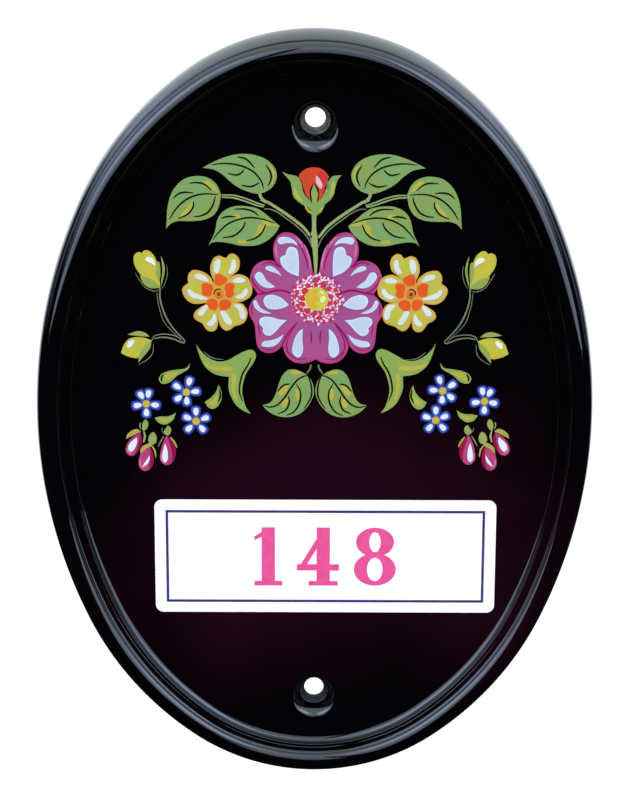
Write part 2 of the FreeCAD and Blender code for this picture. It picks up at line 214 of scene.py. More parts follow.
def black_glaze():
    """Black, with a purple-brown tone that drifts in random patches and also gathers below the middle round
    the panel, falling off towards the rim: that gathered part is a painted reflection, where the face's gloss
    shows brighter.
    """
    material, tree, shader = new_material("black_glaze", {"Roughness": 0.06, "IOR": 1.52})
    place, noise, ramp = patchy_colour(tree, shader, (2, 1, 2), (27, 5, 16), 14.0, 0.1, 0.5)
    # Painted reflection: the purple-brown is strongest round a point below the middle and falls off outwards
    stretch, middle, reflection_falloff = (14.5, 0.0, 18.5), (-0.13, 0.0, 0.68), -0.42
    spread = add_node(tree, "ShaderNodeVectorMath", {0: place, 1: stretch, 2: middle},
                      operation="MULTIPLY_ADD").outputs["Vector"]
    reach = add_node(tree, "ShaderNodeVectorMath", {0: spread, 1: spread}, operation="DOT_PRODUCT")
    tone = maths(tree, "MULTIPLY_ADD", reach.outputs["Value"], reflection_falloff, noise.outputs["Fac"])
    tree.links.new(tone, ramp.inputs["Fac"])
    bumped(tree, shader, place, 60.0, 0.22, 0.0006)
    bumped(tree, shader, place, 900.0, 0.05, 0.00006)
    return material


def dull_clay(name, colour, drift):
    """Fired clay with no glaze, or with only a stain of it."""
    material, tree, shader = new_material(name, {"Roughness": 0.82})
    place = patchy_colour(tree, shader, colour, drift, 700.0)[0]
    bumped(tree, shader, place, 1500.0, 0.5, 0.0002, detail=6.0)
    return material


def enamel(name, colour, drift, scale=140.0):
    """Printed enamel: fired flat, a little softer in its gloss than the glaze under it."""
    material, tree, shader = new_material(name, {"Roughness": 0.2, "Specular IOR Level": 0.35})
    place = patchy_colour(tree, shader, colour, drift, scale)[0]
    bumped(tree, shader, place, 2600.0, 0.12, 0.00003)
    return material


def placed(name, data):
    """A new object at the origin."""
    piece = bpy.data.objects.new(name, data)
    bpy.context.scene.collection.objects.link(piece)
    return piece


def sheet(name, corners, material):
    """A flat piece of the studio, four corners to a face."""
    data = bpy.data.meshes.new(name)
    data.from_pydata(corners, [], [tuple(range(first, first + 4)) for first in range(0, len(corners), 4)])
    data.materials.append(material)
    return placed(name, data)


def finished(name, node, shape, materials):
    """The shape as a piece that stands in for a node of the frame."""
    data = plain_mesh(node, shape)
    for material in materials:
        data.materials.append(material)
    piece = placed(name, data)
    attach(piece, "root")
    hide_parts(node)


def plain_mesh(name, shape):
    bmesh.ops.recalc_face_normals(shape, faces=shape.faces)
    data = bpy.data.meshes.new(name)
    shape.to_mesh(data)
    shape.free()
    return data


# Flat shapes, as lists of (x, z)

def curve(points):
    """Points along a smooth line through these points, both ends included."""
    if len(points) < 3:
        return list(points)
    start = (2 * points[0][0] - points[1][0], 2 * points[0][1] - points[1][1])
    end = (2 * points[-1][0] - points[-2][0], 2 * points[-1][1] - points[-2][1])
    padded = [start] + list(points) + [end]
    line = []
    for four in zip(padded, padded[1:], padded[2:], padded[3:]):
        line += [spline_point(four, j / curve_flats) for j in range(curve_flats)]
    return line + [points[-1]]


def spline_point(four, t):
    weights = (-t + 2 * t ** 2 - t ** 3, 2 - 5 * t ** 2 + 3 * t ** 3,
               t + 4 * t ** 2 - 3 * t ** 3, t ** 3 - t ** 2)
    return tuple(sum(w * p[axis] for w, p in zip(weights, four)) / 2 for axis in (0, 1))


def outline(*runs):
    """Closed outline of smooth runs. Each run goes on to the first point of the next, where the
    outline has a sharp corner, and the last one goes back to where the first began."""
    loop = []
    for run, following in zip(runs, runs[1:] + runs[:1]):
        loop += curve(run + following[:1])[:-1]
    return loop


def rounded(points, flats=curve_flats):
    """Closed outline that is smooth all round."""
    count = len(points)
    loop = []
    for i in range(count):
        four = [points[(i + k) % count] for k in (-1, 0, 1, 2)]
        loop += [spline_point(four, j / flats) for j in range(flats)]
    return loop


def stroke(points, width, start=0.25, end=0.25):
    """Brush line through the points. Its ends are these shares of its full width."""
    line = curve(points)
    last = len(line) - 1
    left, right = [], []
    for i, (x, z) in enumerate(line):
        ax, az = line[max(i - 1, 0)]
        bx, bz = line[min(i + 1, last)]
        length = hypot(bx - ax, bz - az) or 1.0
        s = i / last
        swell = sin(pi * s) ** 0.5
        reach = width / 2 * (swell + (1 - swell) * (start * (1 - s) + end * s))
        left.append((x - (bz - az) / length * reach, z + (bx - ax) / length * reach))
        right.append((x + (bz - az) / length * reach, z - (bx - ax) / length * reach))
    return left + right[::-1]


def ellipse(x, z, width, height, steps=40):
    turns = [2 * pi * k / steps for k in range(steps)]
    return [(x + width / 2 * cos(t), z + height / 2 * sin(t)) for t in turns]


def grown(loop, margin):
    """The outline moved outwards by the margin, for an edge line that shows round a shape."""
    if area(loop) < 0:
        loop = loop[::-1]
    count = len(loop)
    moved = []
    for i, (x, z) in enumerate(loop):
        ax, az = loop[i - 1]
        bx, bz = loop[(i + 1) % count]
        length = hypot(bx - ax, bz - az) or 1.0
        moved.append((x + (bz - az) / length * margin, z - (bx - ax) / length * margin))
    return moved


def area(loop):
    return sum(a[0] * b[1] - b[0] * a[1] for a, b in zip(loop, loop[1:] + loop[:1])) / 2


def mirrored(loop, axis=0.0, rise=0.0):
    return [(2 * axis - x, z + rise) for x, z in loop]


def scaled(loop, share):
    x, z = (sum(p[axis] for p in loop) / len(loop) for axis in (0, 1))
    return [(x + (a - x) * share, z + (b - z) * share) for a, b in loop]


# Pieces of print, built as closed prisms on the glaze

class Print:
    """One printed node: flat shapes in several inks, joined in one mesh."""

    def __init__(self, name, inks):
        self.name = name
        self.inks = inks
        self.mesh = bmesh.new()
        self.materials = []

    def index(self, ink):
        material = self.inks[ink]
        if material not in self.materials:
            self.materials.append(material)
        return self.materials.index(material)

    def lay(self, loops, ink, layer):
        """Shapes in one ink, each a hair off its neighbours in height, so that no two tops share
        a plane. A layer is counted in plies above the glaze."""
        slot = self.index(ink)
        for order, loop in enumerate(loops):
            if area(loop) > 0:
                loop = loop[::-1]
            height = (layer + neighbour_share * (order % neighbour_count)) * ply
            top = [self.mesh.verts.new(on_face(x, z, height)) for x, z in loop]
            foot = [self.mesh.verts.new(on_face(x, z, 0.0)) for x, z in loop]
            self.mesh.faces.new(top[::-1]).material_index = slot
            self.mesh.faces.new(foot).material_index = slot
            for i, j in zip(range(len(loop)), list(range(1, len(loop))) + [0]):
                self.mesh.faces.new((top[i], top[j], foot[j], foot[i])).material_index = slot

    def lay_both(self, loops, ink, layer, axis=0.0, rise=0.0):
        """The same on both sides of an upright line, the right side this much higher."""
        self.lay(loops + [mirrored(loop, axis, rise) for loop in loops], ink, layer)

    def stamp(self, tree, name, loop, places, layer, ink):
        """Copies of one shape, made by the tree. A place is (x, z, turn in degrees, length, width)."""
        slot = self.index(ink)
        known = len(self.mesh.faces)
        self.mesh.from_mesh(stamped(tree, name, loop, places, layer, self.inks[ink]))
        self.mesh.faces.ensure_lookup_table()
        for face in self.mesh.faces[known:]:
            face.material_index = slot

    def finish(self):
        finished("enamel_" + self.name, self.name, self.mesh, self.materials)


def on_face(x, z, rise):
    return Vector((x * MM, -(field_height + rise) * MM, z * MM))


# Node trees

def new_tree(name, inputs):
    """A tree, and what it is given: geometry and these inputs."""
    tree = bpy.data.node_groups.new(name, "GeometryNodeTree")
    tree.interface.new_socket("Geometry", in_out="OUTPUT", socket_type="NodeSocketGeometry")
    for label, kind in (("Geometry", "Geometry"), *inputs, ("Material", "Material")):
        tree.interface.new_socket(label, in_out="INPUT", socket_type="NodeSocket" + kind)
    return tree, add_node(tree, "NodeGroupInput").outputs


def ended(tree, given, source):
    """The tree's end: plain mesh, smooth or flat as it came, in the given material."""
    realize = add_node(tree, "GeometryNodeRealizeInstances", {"Geometry": source})
    paint = add_node(tree, "GeometryNodeSetMaterial", {
        "Geometry": realize.outputs["Geometry"], "Material": given["Material"]})
    add_node(tree, "NodeGroupOutput", {"Geometry": paint.outputs["Geometry"]})
    return tree


def sweep_tree():
    """Carries a section along a path: the moulded rim, the screw wells."""
    tree, given = new_tree("moulded_sweep", [("Section", "Object")])
    section = add_node(tree, "GeometryNodeObjectInfo", {"Object": given["Section"]})
    sweep = add_node(tree, "GeometryNodeCurveToMesh", {
        "Curve": given["Geometry"], "Profile Curve": section.outputs["Geometry"]})
    return ended(tree, given, sweep.outputs["Mesh"])


def stamp_tree():
    """Repeats a small shape at points, each with its own turn and size."""
    tree, given = new_tree("repeated_mark", [("Mark", "Object"), ("Scale", "Float")])
    mark = add_node(tree, "GeometryNodeObjectInfo", {"Object": given["Mark"]})
    turn = add_node(tree, "GeometryNodeInputNamedAttribute", {"Name": "turn"}, data_type="FLOAT")
    size = add_node(tree, "GeometryNodeInputNamedAttribute", {"Name": "size"}, data_type="FLOAT_VECTOR")
    rotation = add_node(tree, "ShaderNodeCombineXYZ", {"Y": turn.outputs["Attribute"]})
    sized = add_node(tree, "ShaderNodeVectorMath", {
        0: size.outputs["Attribute"], "Scale": given["Scale"]}, operation="SCALE")
    place = add_node(tree, "GeometryNodeInstanceOnPoints", {
        "Points": given["Geometry"], "Instance": mark.outputs["Geometry"],
        "Rotation": rotation.outputs["Vector"], "Scale": sized.outputs["Vector"]})
    return ended(tree, given, place.outputs["Instances"])


def evaluated(name, data, tree, **values):
    """Runs a tree on a mesh or curve and gives the plain mesh that results."""
    carrier = placed(name, data)
    modifier = carrier.modifiers.new(name, "NODES")
    modifier.node_group = tree
    for item in tree.interface.items_tree:
        if item.in_out == "INPUT" and item.name in values:
            modifier[item.identifier] = values[item.name]
    bpy.context.view_layer.update()
    graph = bpy.context.evaluated_depsgraph_get()
    mesh = bpy.data.meshes.new_from_object(carrier.evaluated_get(graph), depsgraph=graph)
    bpy.data.objects.remove(carrier)
    return mesh


def line_data(name, points, closed):
    """A curve of straight flats through (x, y) points."""
    data = bpy.data.curves.new(name, "CURVE")
    data.dimensions = "3D"
    spline = data.splines.new("POLY")
    spline.points.add(len(points) - 1)
    for point, (x, y) in zip(spline.points, points):
        point.co = (x, y, 0.0, 1.0)
    spline.use_cyclic_u = closed
    return data


def stamped(tree, name, loop, places, layer, material):
    """The copies as one mesh, made from a mark at the glaze's own middle."""
    mark = Print(name + "_mark", {name: material})
    mark.lay([loop], name, layer)
    for vertex in mark.mesh.verts:
        vertex.co.y += field_height * MM
    shape = placed(mark.name, plain_mesh(mark.name, mark.mesh))
    points = bpy.data.meshes.new(name)
    points.from_pydata([on_face(x, z, 0.0) for x, z, *rest in places], [], [])
    turns = points.attributes.new("turn", "FLOAT", "POINT")
    sizes = points.attributes.new("size", "FLOAT_VECTOR", "POINT")
    for i, (x, z, turn, length, width) in enumerate(places):
        turns.data[i].value = -radians(turn)
        sizes.data[i].vector = (length, 1.0, width)
    mesh = evaluated(name, points, tree, Mark=shape, Scale=1.0, Material=material)
    bpy.data.objects.remove(shape)
    return mesh


# Ceramic body

def oval_path():
    """Points round the oval of eight tangent arcs, evenly spread, anticlockwise from +X."""
    first, second = (radians(a) for a in oval_joints)
    middle = sqrt(half_width * half_height)
    a, b, c = cos(first) - 1, -cos(second), middle * (cos(first) - cos(second)) - half_width
    d, e, f = sin(first), 1 - sin(second), half_height + middle * (sin(first) - sin(second))
    side = (c * e - b * f) / (a * e - b * d)
    end = (a * f - c * d) / (a * e - b * d)
    x = half_width - side + (side - middle) * cos(first)
    z = (side - middle) * sin(first)
    quarter = [(half_width - side, 0.0, side, 0.0, first),
               (x, z, middle, first, second),
               (0.0, half_height - end, end, second, pi / 2)]
    length = sum(radius * (stop - start) for _, _, radius, start, stop in quarter)
    points = []
    for cx, cz, radius, start, stop in quarter:
        steps = round(oval_steps / 4 * radius * (stop - start) / length)
        for i in range(steps):
            t = start + (stop - start) * i / steps
            points.append((cx + radius * cos(t), cz + radius * sin(t)))
    top = [(0.0, half_height)]
    left = [(-x, z) for x, z in points[:0:-1]]
    upper = points + top + left
    return upper + [(-x, -z) for x, z in upper]


def arc(start, middle, end, flats):
    """Points on the arc through three points."""
    (ax, ay), (bx, by), (cx, cy) = start, middle, end
    d = 2 * (ax * (by - cy) + bx * (cy - ay) + cx * (ay - by))
    a, b, c = ax * ax + ay * ay, bx * bx + by * by, cx * cx + cy * cy
    x = (a * (by - cy) + b * (cy - ay) + c * (ay - by)) / d
    y = (a * (cx - bx) + b * (ax - cx) + c * (bx - ax)) / d
    radius = hypot(ax - x, ay - y)
    first, last = atan2(ay - y, ax - x), atan2(cy - y, cx - x)
    if d < 0 and last > first:
        last -= 2 * pi
    if d > 0 and last < first:
        last += 2 * pi
    turns = [first + (last - first) * i / flats for i in range(1, flats)]
    return [start] + [(x + radius * cos(t), y + radius * sin(t)) for t in turns] + [end]


def softened(points):
    """Corners cut back a little, as thick glaze rounds them. The two ends stay."""
    cut = [points[0]]
    for (ax, ay), (bx, by) in zip(points, points[1:]):
        cut += [(ax * 0.75 + bx * 0.25, ay * 0.75 + by * 0.25),
                (ax * 0.25 + bx * 0.75, ay * 0.25 + by * 0.75)]
    return cut + [points[-1]]


def rim_section():
    """(inset, height) from the field out over the rim, down the side and in under the foot."""
    diagonal = 1 - cos(pi / 4)
    roll_start = side_lean + groove_width / 2
    roll_end = roll_start + roll_width
    line_start = roll_end + groove_width
    line_end = line_start + line_width
    cove_start = line_end + groove_width
    cove_top = field_height + cove_radius
    valley = cove_top - groove_depth
    cove = arc((cove_start + cove_radius, field_height),
               (cove_start + cove_radius * diagonal, field_height + cove_radius * diagonal),
               (cove_start, cove_top), 7)
    line = arc((line_end, cove_top), ((line_start + line_end) / 2, cove_top + line_rise * 2),
               (line_start, cove_top + line_rise * 2), 4)
    roll = arc((roll_end, cove_top + glaze_pool), ((roll_start + roll_end) / 2, rim_height),
               (roll_start, side_height), 16)
    side = arc((side_lean, side_height),
               (side_lean / 2 - side_belly, (side_height + back_edge_radius) / 2),
               (0, back_edge_radius), 8)
    edge = arc((0, back_edge_radius), (back_edge_radius * diagonal, back_edge_radius * diagonal),
               (back_edge_radius, 0), 4)
    groove = [(cove_start - groove_width / 2, valley)]
    crease = [(roll_start - groove_width / 4, side_height - groove_depth / 2)]
    foot = [(foot_width * 0.5, 0), (foot_width, 0), (foot_width + foot_lean, hollow_depth)]
    section = softened(cove + groove + line + roll + crease + side) + edge[1:] + foot
    outside = max(0.0, -min(inset for inset, height in section))
    return [(inset + outside, height) for inset, height in section]


def well_section():
    """(radius, height) from the field down the glazed well, over the seat and to the hole's back."""
    bends = [(well_top_radius + well_lip * out, field_height - well_lip * down) for out, down in lip_bends]
    lip = arc((well_top_radius + well_lip, field_height), *bends, 6)
    shoulder = [(well_top_radius - shoulder_inset, field_height - shoulder_drop)]
    floor = [(well_floor_radius, seat_top + well_floor_bevel),
             (well_floor_radius - well_floor_bevel, seat_top), (seat_radius, seat_top)]
    return lip + shoulder + floor + [(hole_radius, hollow_depth + hole_land), (hole_radius, hollow_depth)]


def swept(tree, name, path, section, material):
    """The section carried round the path, in metres, standing upright."""
    profile = placed(name + "_section", line_data(name + "_section", section, False))
    mesh = evaluated(name, line_data(name, path, True), tree, Section=profile, Material=material)
    bpy.data.objects.remove(profile)
    mesh.transform(Matrix.Rotation(pi / 2, 4, "X") @ Matrix.Scale(MM, 4))
    return mesh


def screw_well(tree, side, drop, glaze):
    """A well above or below the middle. Its lower side is drawn down, as the glaze pools there."""
    turns = [2 * pi * k / well_steps for k in range(well_steps)]
    path = [(swing_radius * cos(t), side * screw_place + swing_radius * sin(t)) for t in turns]
    mesh = swept(tree, "well", path, [(radius, -height) for radius, height in well_section()], glaze)
    for vertex in mesh.vertices:
        rise = (-vertex.co.y / MM - seat_top) / (field_height - seat_top)
        low = 0.5 - (vertex.co.z / MM - side * screw_place) / (well_top_radius + well_lip) / 2
        vertex.co.z -= drop * MM * max(0.0, rise) * min(1.0, max(0.0, low * drop_reach))
    return mesh


def open_edges(mesh, height):
    return [e for e in mesh.edges if e.is_boundary
            and all(abs(v.co.y + height * MM) < hair for v in e.verts)]


def ceramic_finish(place):
    """Which material shows here: 0 glaze, 1 the bare clay of the foot and upper seat, 2 the stained one."""
    in_seat = hypot(place.x, abs(place.z) - screw_place * MM) < (seat_radius + seat_stain) * MM
    if in_seat and place.y > -seat_top * MM - hair:
        return 1 if place.z > 0 else 2
    return 1 if place.y > -hair else 0


def ceramic_plaque(tree, *materials):
    body = bmesh.new()
    rim = [(-inset, -height) for inset, height in rim_section()]
    body.from_mesh(swept(tree, "rim", oval_path(), rim, materials[0]))
    for side, drop in zip((1, -1), well_drops):
        body.from_mesh(screw_well(tree, side, drop, materials[0]))
    for height, normal in ((field_height, (0, -1, 0)), (hollow_depth, (0, 1, 0))):
        bmesh.ops.triangle_fill(body, use_beauty=True, use_dissolve=False,
                                edges=open_edges(body, height), normal=normal)
    for face in body.faces:
        face.material_index = ceramic_finish(face.calc_center_median())
        face.smooth = True
    finished("glazed_plaque", "ceramic_plaque", body, materials)


# Print: leaves, stems and sepals. The left side is drawn, and the right is its mirror.

TOP_LEAF = outline([(-29.4, 69), (-27.2, 70.2), (-24.4, 71.5), (-20.6, 72.6), (-16.6, 72.6), (-13, 71.4),
     (-10.7, 69.2), (-10, 66.8), (-10.9, 64.3), (-12.6, 62.8)],
    [(-14.6, 62), (-16.1, 62.2), (-18.3, 62.9), (-20.5, 64), (-22.4, 65.5), (-24.2, 67.2), (-26.4, 68.5)])
SIDE_LEAF = outline([(-24.6, 61.8), (-25.7, 64.4), (-27.6, 66.1), (-30.5, 66.8), (-33.9, 66.1), (-36.4, 64),
     (-37.9, 61.3), (-38.7, 57.9), (-38.9, 55)],
    [(-39.1, 52.5), (-37.8, 53.9), (-35.9, 54.6), (-32.7, 54.6), (-29.4, 54.9), (-26.8, 56.1),
     (-25.3, 58.3), (-24.8, 60.5)])
INNER_LEAF = outline([(-9.3, 53.4), (-11.3, 55.1), (-13.5, 57), (-15.3, 58.1), (-18.3, 58.7), (-21.3, 58.6),
     (-23.9, 57.4), (-25.5, 55.3), (-26.1, 52.7), (-26.5, 51.2)],
    [(-28, 47.9), (-27.1, 48.7), (-25.3, 49), (-22.4, 48.6), (-19.8, 48), (-17.2, 47.9), (-14.6, 48.3),
     (-12, 49.8), (-10.1, 51.8)])
LOW_LEAF = outline([(-1.8, 12), (-3.6, 13.1), (-5.5, 13.7), (-7.3, 13.4), (-8.6, 12), (-9.5, 9.9),
     (-10.1, 7.7), (-11, 5.5), (-12.1, 4.2)],
    [(-13.9, 3.6), (-12.9, 2.3), (-11, 1), (-8.8, 0.3), (-6.6, 0.3), (-4.4, 1), (-2.5, 2.5), (-1, 4.7),
     (-0.2, 7.3), (-0.6, 9.9)])
HORN_LEAF = outline([(-31.6, 20.7), (-30.3, 18.8), (-28.4, 17), (-25.9, 15.9), (-23.3, 16.2), (-21, 17.5),
     (-18.8, 18.7), (-17, 19.2), (-15.9, 18.5), (-15.7, 17), (-16.6, 15.1), (-18.1, 12.9), (-19, 10.3),
     (-19.4, 7.7), (-19, 5.1), (-18.3, 2.9)],
    [(-17.1, 1.1), (-19.2, 2.1), (-21, 3.6), (-22.3, 5.9), (-23, 8.4)],
    [(-22.9, 11.6), (-24.7, 11.8), (-27, 12.5), (-29.2, 14.4), (-30.5, 17)])
COMMA_LEAF = outline([(-25.7, 9.3), (-26.4, 7.3), (-27.7, 5.7)],
    [(-29.4, 4.5), (-28.6, 3.1), (-27.3, 2.5), (-25.9, 3.3), (-25, 5.1), (-24.9, 7.3)])
SICKLE_LEAF = outline([(-33.2, 15.4), (-34.3, 14), (-36.3, 13.6), (-38.7, 13.2), (-40.7, 12.4), (-41.6, 11),
     (-41, 9.7), (-39.7, 9.6), (-38.3, 10.3), (-37, 11.6), (-35.3, 12.7), (-33.7, 13.8)])
BOAT_LEAF = outline([(-42.9, -0.1), (-41.3, 0.3), (-39.7, 0.3), (-38.3, 0.7)],
    [(-37.2, 1.4), (-37.8, -0.4), (-39, -1.5), (-40.3, -2), (-41.8, -1.5)])

# Each group: leaves, yellow-green patches, veins, and how its mirror image is set on the right
LEAF_GROUPS = [
    ([TOP_LEAF, SIDE_LEAF, INNER_LEAF],
     [rounded([(-12.2, 70), (-10.9, 68.6), (-10.6, 66.6), (-11.4, 64.6), (-11, 66.4), (-11.3, 68.2)]),
      rounded([(-29.4, 64.3), (-28.2, 65.6), (-26.3, 64.2), (-25.6, 62.6), (-27.3, 63.3)]),
      rounded([(-32, 58.2), (-32.5, 59.6), (-34, 57.6), (-35.4, 55.8), (-33.8, 56.5)]),
      rounded([(-14, 54.9), (-11.6, 54.6), (-9.9, 53.4), (-11.2, 53.3), (-13.2, 53.6)]),
      rounded([(-13.3, 53.6), (-15, 53.4), (-15.3, 51.4), (-16.6, 50.3), (-14.4, 51.2)]),
      rounded([(-21.2, 55.4), (-19.6, 55.5), (-20, 56.4), (-21.6, 56.2)]),
      rounded([(-18, 48.7), (-20.2, 48.6), (-20, 49.6), (-18.4, 49.4)])],
     [[(-27.2, 69.8), (-24.2, 70.2), (-21.3, 70), (-18.3, 69.2), (-15.7, 67.6), (-14, 65.3), (-13.5, 63.4)],
      [(-20.4, 72), (-17.9, 71.3), (-15.8, 69)],
      [(-22.9, 67.6), (-20.7, 67.1), (-19.4, 67.6), (-18.5, 68.6)],
      [(-19.4, 64.4), (-16.8, 64), (-14.4, 65.1)],
      [(-12.9, 69.9), (-11.7, 67.9), (-11.5, 66.1), (-12.4, 64)],
      [(-38.2, 55), (-36.8, 57.4), (-34.6, 59.8), (-32, 61.3), (-29, 62), (-25.3, 61.8)],
      [(-37.2, 60.7), (-35.7, 62), (-33.9, 62.4), (-31.8, 62.2)],
      [(-32.9, 64.9), (-30.5, 65), (-28.7, 64.4), (-27, 62.9)],
      [(-31.8, 60), (-32, 58.3), (-33.5, 56.4), (-35.9, 55.3)],
      [(-26.1, 61.4), (-26.6, 59.4), (-27.9, 57.2), (-29.8, 56.1), (-31.9, 55.8)],
      [(-26.9, 49.5), (-25.3, 51.6), (-23.1, 53.7), (-20.1, 55.1), (-16.8, 55.6), (-13.5, 55.1),
       (-10.4, 54)],
      [(-24.7, 55.4), (-22.7, 55.9), (-20.6, 55.8)],
      [(-21.2, 57.9), (-18.3, 57.9), (-16.1, 57.2), (-14.8, 56.1)],
      [(-18.3, 54.6), (-19, 52.7), (-21.3, 50.7), (-24.4, 50.1)],
      [(-12.9, 53.9), (-13.9, 51.6), (-15.7, 50), (-18, 49.3)]],
     -0.3, 0.0),
    ([LOW_LEAF],
     [rounded([(-6.5, 13.3), (-4.8, 13.4), (-3.2, 12.6), (-4.4, 12.4), (-6, 12.5)]),
      rounded([(-9.6, 7), (-8.5, 8.8), (-6.9, 9.2), (-7.6, 7.4), (-8.9, 6.4)]),
      rounded([(-7.2, 5.6), (-7.2, 4.4), (-8.1, 2.9), (-8.9, 3.8), (-8.4, 4.9)]),
      rounded([(-4.4, 8.2), (-4, 7), (-4.2, 5), (-5, 5.9), (-5.1, 7.8)])],
     [[(-13.6, 3.4), (-11.8, 3.1), (-9.9, 3.8), (-8.1, 5.7), (-6.6, 8.1), (-4.7, 10.7), (-2.9, 11.8),
       (-1.6, 12)],
      [(-9.9, 7.5), (-8.4, 9.2), (-6.6, 9.7)],
      [(-4.9, 9.7), (-3.8, 7.3), (-4, 4.4), (-5.5, 1.8), (-7.6, 0.7)],
      [(-7, 6.2), (-6.8, 4.4), (-7.7, 2.3), (-9.9, 1.1)],
      [(-1.8, 12), (-0.9, 9.2), (-1, 5.9), (-2.9, 2.5)]],
     0.0, 0.0),
    ([HORN_LEAF],
     [rounded([(-29.3, 15.4), (-26.4, 14.4), (-22.6, 14.4), (-21.6, 13.6), (-25, 13.2), (-28.2, 13.9)]),
      rounded([(-21.9, 12.2), (-21, 11.6), (-21.2, 8), (-20.6, 4.6), (-21.6, 5.8), (-22.2, 9)])],
     [[(-16.9, 17.1), (-17.7, 15.1), (-19.2, 12.5), (-19.9, 9.9), (-20.1, 7.3), (-19.2, 4.6)]],
     0.3, 0.3),
    ([COMMA_LEAF],
     [rounded([(-25.9, 6.4), (-26.8, 5.4), (-28.2, 4.2), (-27.2, 3.4), (-26.1, 4.2)])],
     [[(-25.4, 8.2), (-25.2, 6.2), (-25.9, 4.3)]],
     0.3, 0.0),
    ([SICKLE_LEAF],
     [rounded([(-40.5, 10.4), (-39.4, 10.4), (-38, 11.4), (-36.2, 12.7), (-38.4, 12.7), (-40, 12)])],
     [[(-40.3, 12.3), (-40.9, 11.2), (-40.8, 10.2)]],
     0.1, 0.3),
    ([BOAT_LEAF],
     [rounded([(-41.6, -0.4), (-39.4, -0.3), (-38.1, 0.1), (-39.6, -1.2), (-40.8, -1.3)])],
     [],
     0.45, 0.9),
]


def green_print(inks):
    green = Print("print_green", inks)
    for leaves, patches, veins, axis, rise in LEAF_GROUPS:
        green.lay_both(leaves, "leaf" if len(veins) > 1 else "moss", 2, axis, rise)
        green.lay_both(patches, "lime", 3, axis, rise)
        green.lay_both([stroke(vein, vein_width) for vein in veins], "vein", 4, axis, rise)
    stems(green)
    calyx(green)
    bud_green(green)
    green.finish()


def stems(green):
    """Paired brush lines that carry the leaves and the buds."""
    main = outline([(-0.9, 57), (-0.8, 52.6), (-1.3, 50.4), (-0.7, 47.4), (-0.4, 44)],
        [(0, 39.2)],
        [(0.4, 39.2), (0.7, 44), (0.7, 48), (0.7, 50), (0.3, 52.6)],
        [(0.3, 57)])
    green.lay([main], "stem", 1)
    green.lay_both([
        stroke([(-14.2, 60.5), (-12.3, 59.7), (-9.8, 58.1), (-7.3, 56.4), (-4.8, 54.5), (-2.9, 52.8),
             (-0.9, 50.2)], 0.75, 0.9, 0.8),
        stroke([(-24.4, 61.7), (-21.3, 61.6), (-18.3, 60.8), (-15.3, 59.6), (-13.2, 58.9)], 0.36, 0.8, 0.8),
        stroke([(-24.4, 61.1), (-21.3, 60.9), (-18.3, 60), (-15.3, 58.9), (-13.4, 58.5)], 0.4, 0.8, 0.8),
        stroke([(-14.5, 62.2), (-14.1, 61), (-12.8, 59.6)], 0.8, 0.9, 0.6),
    ], "stem", 1)
    green.lay_both([
        stroke([(-13.4, 57.9), (-11.8, 57.9), (-9.6, 56.9), (-7.3, 55.2), (-4.8, 53.3), (-2.9, 51.4),
             (-1.6, 49.6), (-0.8, 47.6)], 0.34, 0.6, 0.6),
        stroke([(-1, 15.1), (-1.2, 14), (-2.1, 12.6)], 0.45, 0.8, 0.6),
        stroke([(-29.6, 18.7), (-28, 17.3), (-26.2, 16.6), (-24.2, 16.5)], 0.22),
        stroke([(-40.9, 36.2), (-41, 33.8), (-40.5, 31.2), (-39.4, 28.1), (-37.5, 25),
             (-34.5, 21.6)], 0.42, 0.7, 0.7),
        stroke([(-41.8, 35.2), (-41.6, 33), (-41.1, 30.4), (-40, 26.9), (-37.8, 24.2), (-35, 21.3)], 0.2),
        stroke([(-43.4, 21.6), (-42.5, 23), (-40.2, 23.5), (-37.5, 23.1), (-35.6, 22.2)], 0.26, 0.6, 0.6),
        stroke([(-42.7, 22.2), (-40.5, 22.6), (-37.8, 22.2), (-35.1, 21.1), (-34.5, 21.5)], 0.36, 0.7, 0.7),
        stroke([(-47.5, 40.5), (-46.1, 38.1), (-44.8, 36.4), (-42.5, 35.4), (-41, 35.9)], 0.2),
        stroke([(-39.1, 42.6), (-38.9, 40.4), (-39.5, 37.8), (-40.5, 36)], 0.16),
        stroke([(-42.9, 20.8), (-43.2, 18.1), (-44.8, 16.2), (-47, 15)], 0.2),
    ], "stem_grey", 1)


